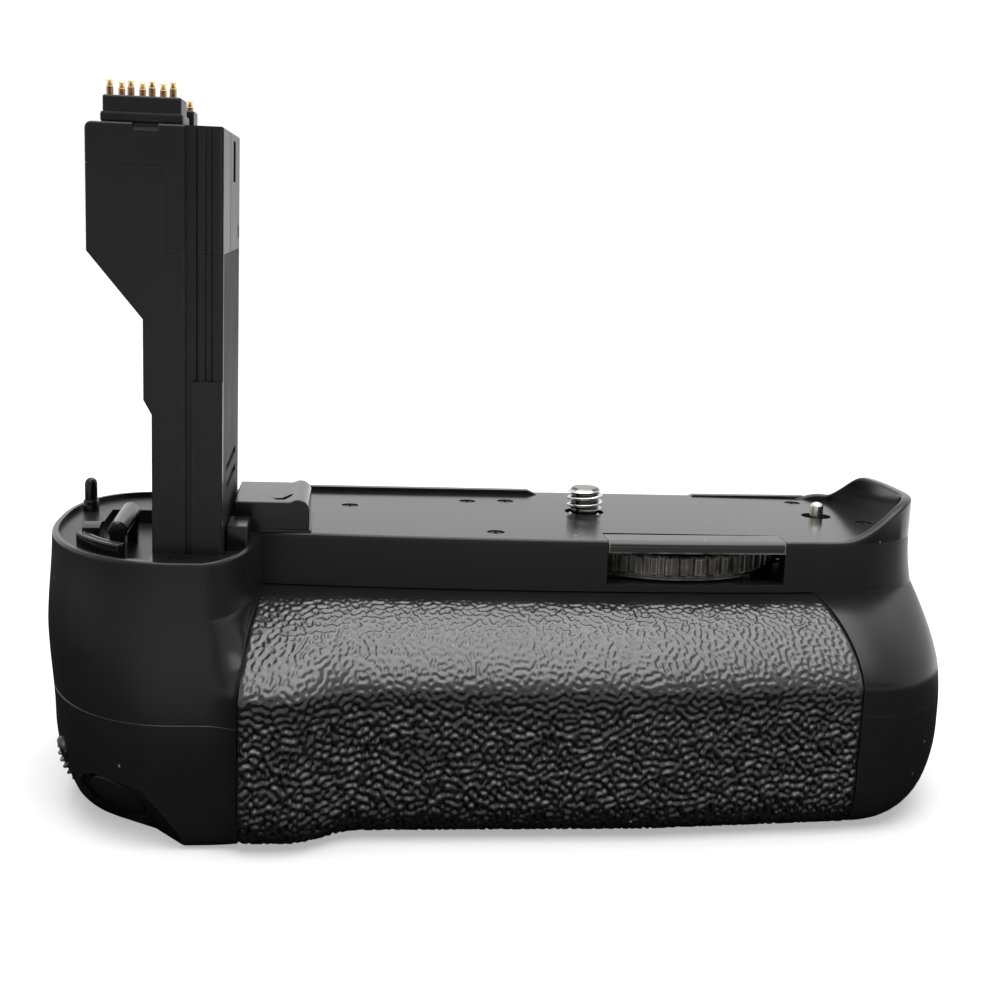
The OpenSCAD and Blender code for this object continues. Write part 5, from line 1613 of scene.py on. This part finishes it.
# Base fittings
# A threaded brass bush for a tripod screw and four cross-head screws that close the body from below.
socket_depth = 5.0


def tripod_socket():
    """Tube with a rolled thread in its bore, open below."""
    count = 96
    angle = np.arange(count) * 2 * np.pi / count
    z = np.linspace(-body_height, -body_height + socket_depth, 110)[:, None]
    bore = screw_radius - 0.6 * thread_wave(angle[None, :], z, thread_pitch)
    bore[0] = screw_radius + 0.3
    bore[-1] = screw_radius - 0.3
    wall = np.array([(socket_r - 0.01, -body_height + socket_depth), (socket_r - 0.01, -body_height + 0.2),
                     (socket_r - 0.2, -body_height)])
    radius = np.concatenate([bore, wall[:, :1] + 0 * angle])
    height = np.concatenate([z + 0 * angle, wall[:, 1:] + 0 * angle])
    rings = np.stack([radius * np.cos(angle), radius * np.sin(angle), height], axis=2)
    return crisp(skin("tripod_socket_bush", rings, ring_shaped=True), 50)


def base_screw(spot):
    """Pan head with a cross slot, and its shank."""
    low = -body_height + 0.5
    profile = [(base_screw_r - 0.6, low), (base_screw_r - 0.15, low + 0.3), (base_screw_r, low + 0.7),
               (base_screw_r, low + 1.7), (1.25, low + 1.7), (1.25, -seam_depth + 7)]
    return carve(lathe("base_screws_set", profile, (*spot, 0), count=48),
                 [cross_slot(spot, low - 1, low + 0.8, 2.8, 0.55)])


turned_brass = metal("turned_brass", (0.7, 0.53, 0.25, 1), (0.5, 0.36, 0.16, 1), (0.2, 0.34),
                     (300, 300, 2000))
zinc_steel = metal("zinc_steel", (0.5, 0.5, 0.5, 1), (0.36, 0.36, 0.35, 1), (0.28, 0.42))
finished(tripod_socket(), turned_brass, nodes=["tripod_socket"])
finished(crisp(joined([base_screw(spot) for spot in base_screw_spots])), zinc_steel,
         nodes=["housing_screws"])

# Inner pieces
# What the closed housing hides keeps its modelled shape: boards, switches, batteries, tray, gear and latch.
# They get the finishes of their materials, and show when the magazine slides out.
board_green = (0.012, 0.07, 0.03, 1)
trace_green = (0.03, 0.16, 0.07, 1)
battery_grey = (0.022, 0.0225, 0.024, 1)
switch_grey = (0.03, 0.03, 0.031, 1)


def board_finish():
    """Solder mask over straight copper traces: a brick pattern of thin lighter lines."""
    finish = bpy.data.materials.new("board_green_mask")
    finish.use_nodes = True
    tree = finish.node_tree
    shader = tree.nodes["Principled BSDF"]
    where = place(tree, "TexCoord").outputs["Object"]
    traces = place(tree, "TexBrick", {"Vector": where, "Scale": 260.0, "Mortar Size": 0.05}).outputs["Fac"]
    tree.links.new(mix_colour(tree, traces, board_green, trace_green), shader.inputs["Base Color"])
    gloss = place(tree, "MapRange", {"Value": traces, "To Min": 0.42, "To Max": 0.3})
    tree.links.new(gloss.outputs[0], shader.inputs["Roughness"])
    return finish


board_mask = board_finish()
battery_case = moulded("battery_case_grey", battery_grey, worn_highlit_black, (0.32, 0.42), 0.3, 1600.0, 0.015)
switch_body = moulded("switch_body_grey", switch_grey, worn_highlit_black, (0.3, 0.4), 0.3, 2400.0, 0.01)
gilt_plate = metal("gilt_plate", (0.9, 0.66, 0.3, 1), (0.75, 0.5, 0.2, 1), (0.16, 0.28))
inner_finishes = [
    (black_shell, ["wheel_retainer", "bay_frame", "magazine_tray"]),
    (zinc_steel, ["retainer_screws", "screw_clip", "latch_tongue", "dial_axle"]),
    (turned_brass, ["screw_bush", "screw_gear"]),
    (gilt_plate, ["bay_contacts", "magazine_contacts"]),
    (board_mask, ["main_board", "tower_board", "control_board", "rear_button_board"]),
    (switch_body, ["shutter_switch", "function_switch", "rear_switches", "power_switch"]),
    (battery_case, ["left_battery", "right_battery"]),
]
for finish, names in inner_finishes:
    for name in names:
        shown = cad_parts[name].data.materials
        shown.clear()
        shown.append(finish)
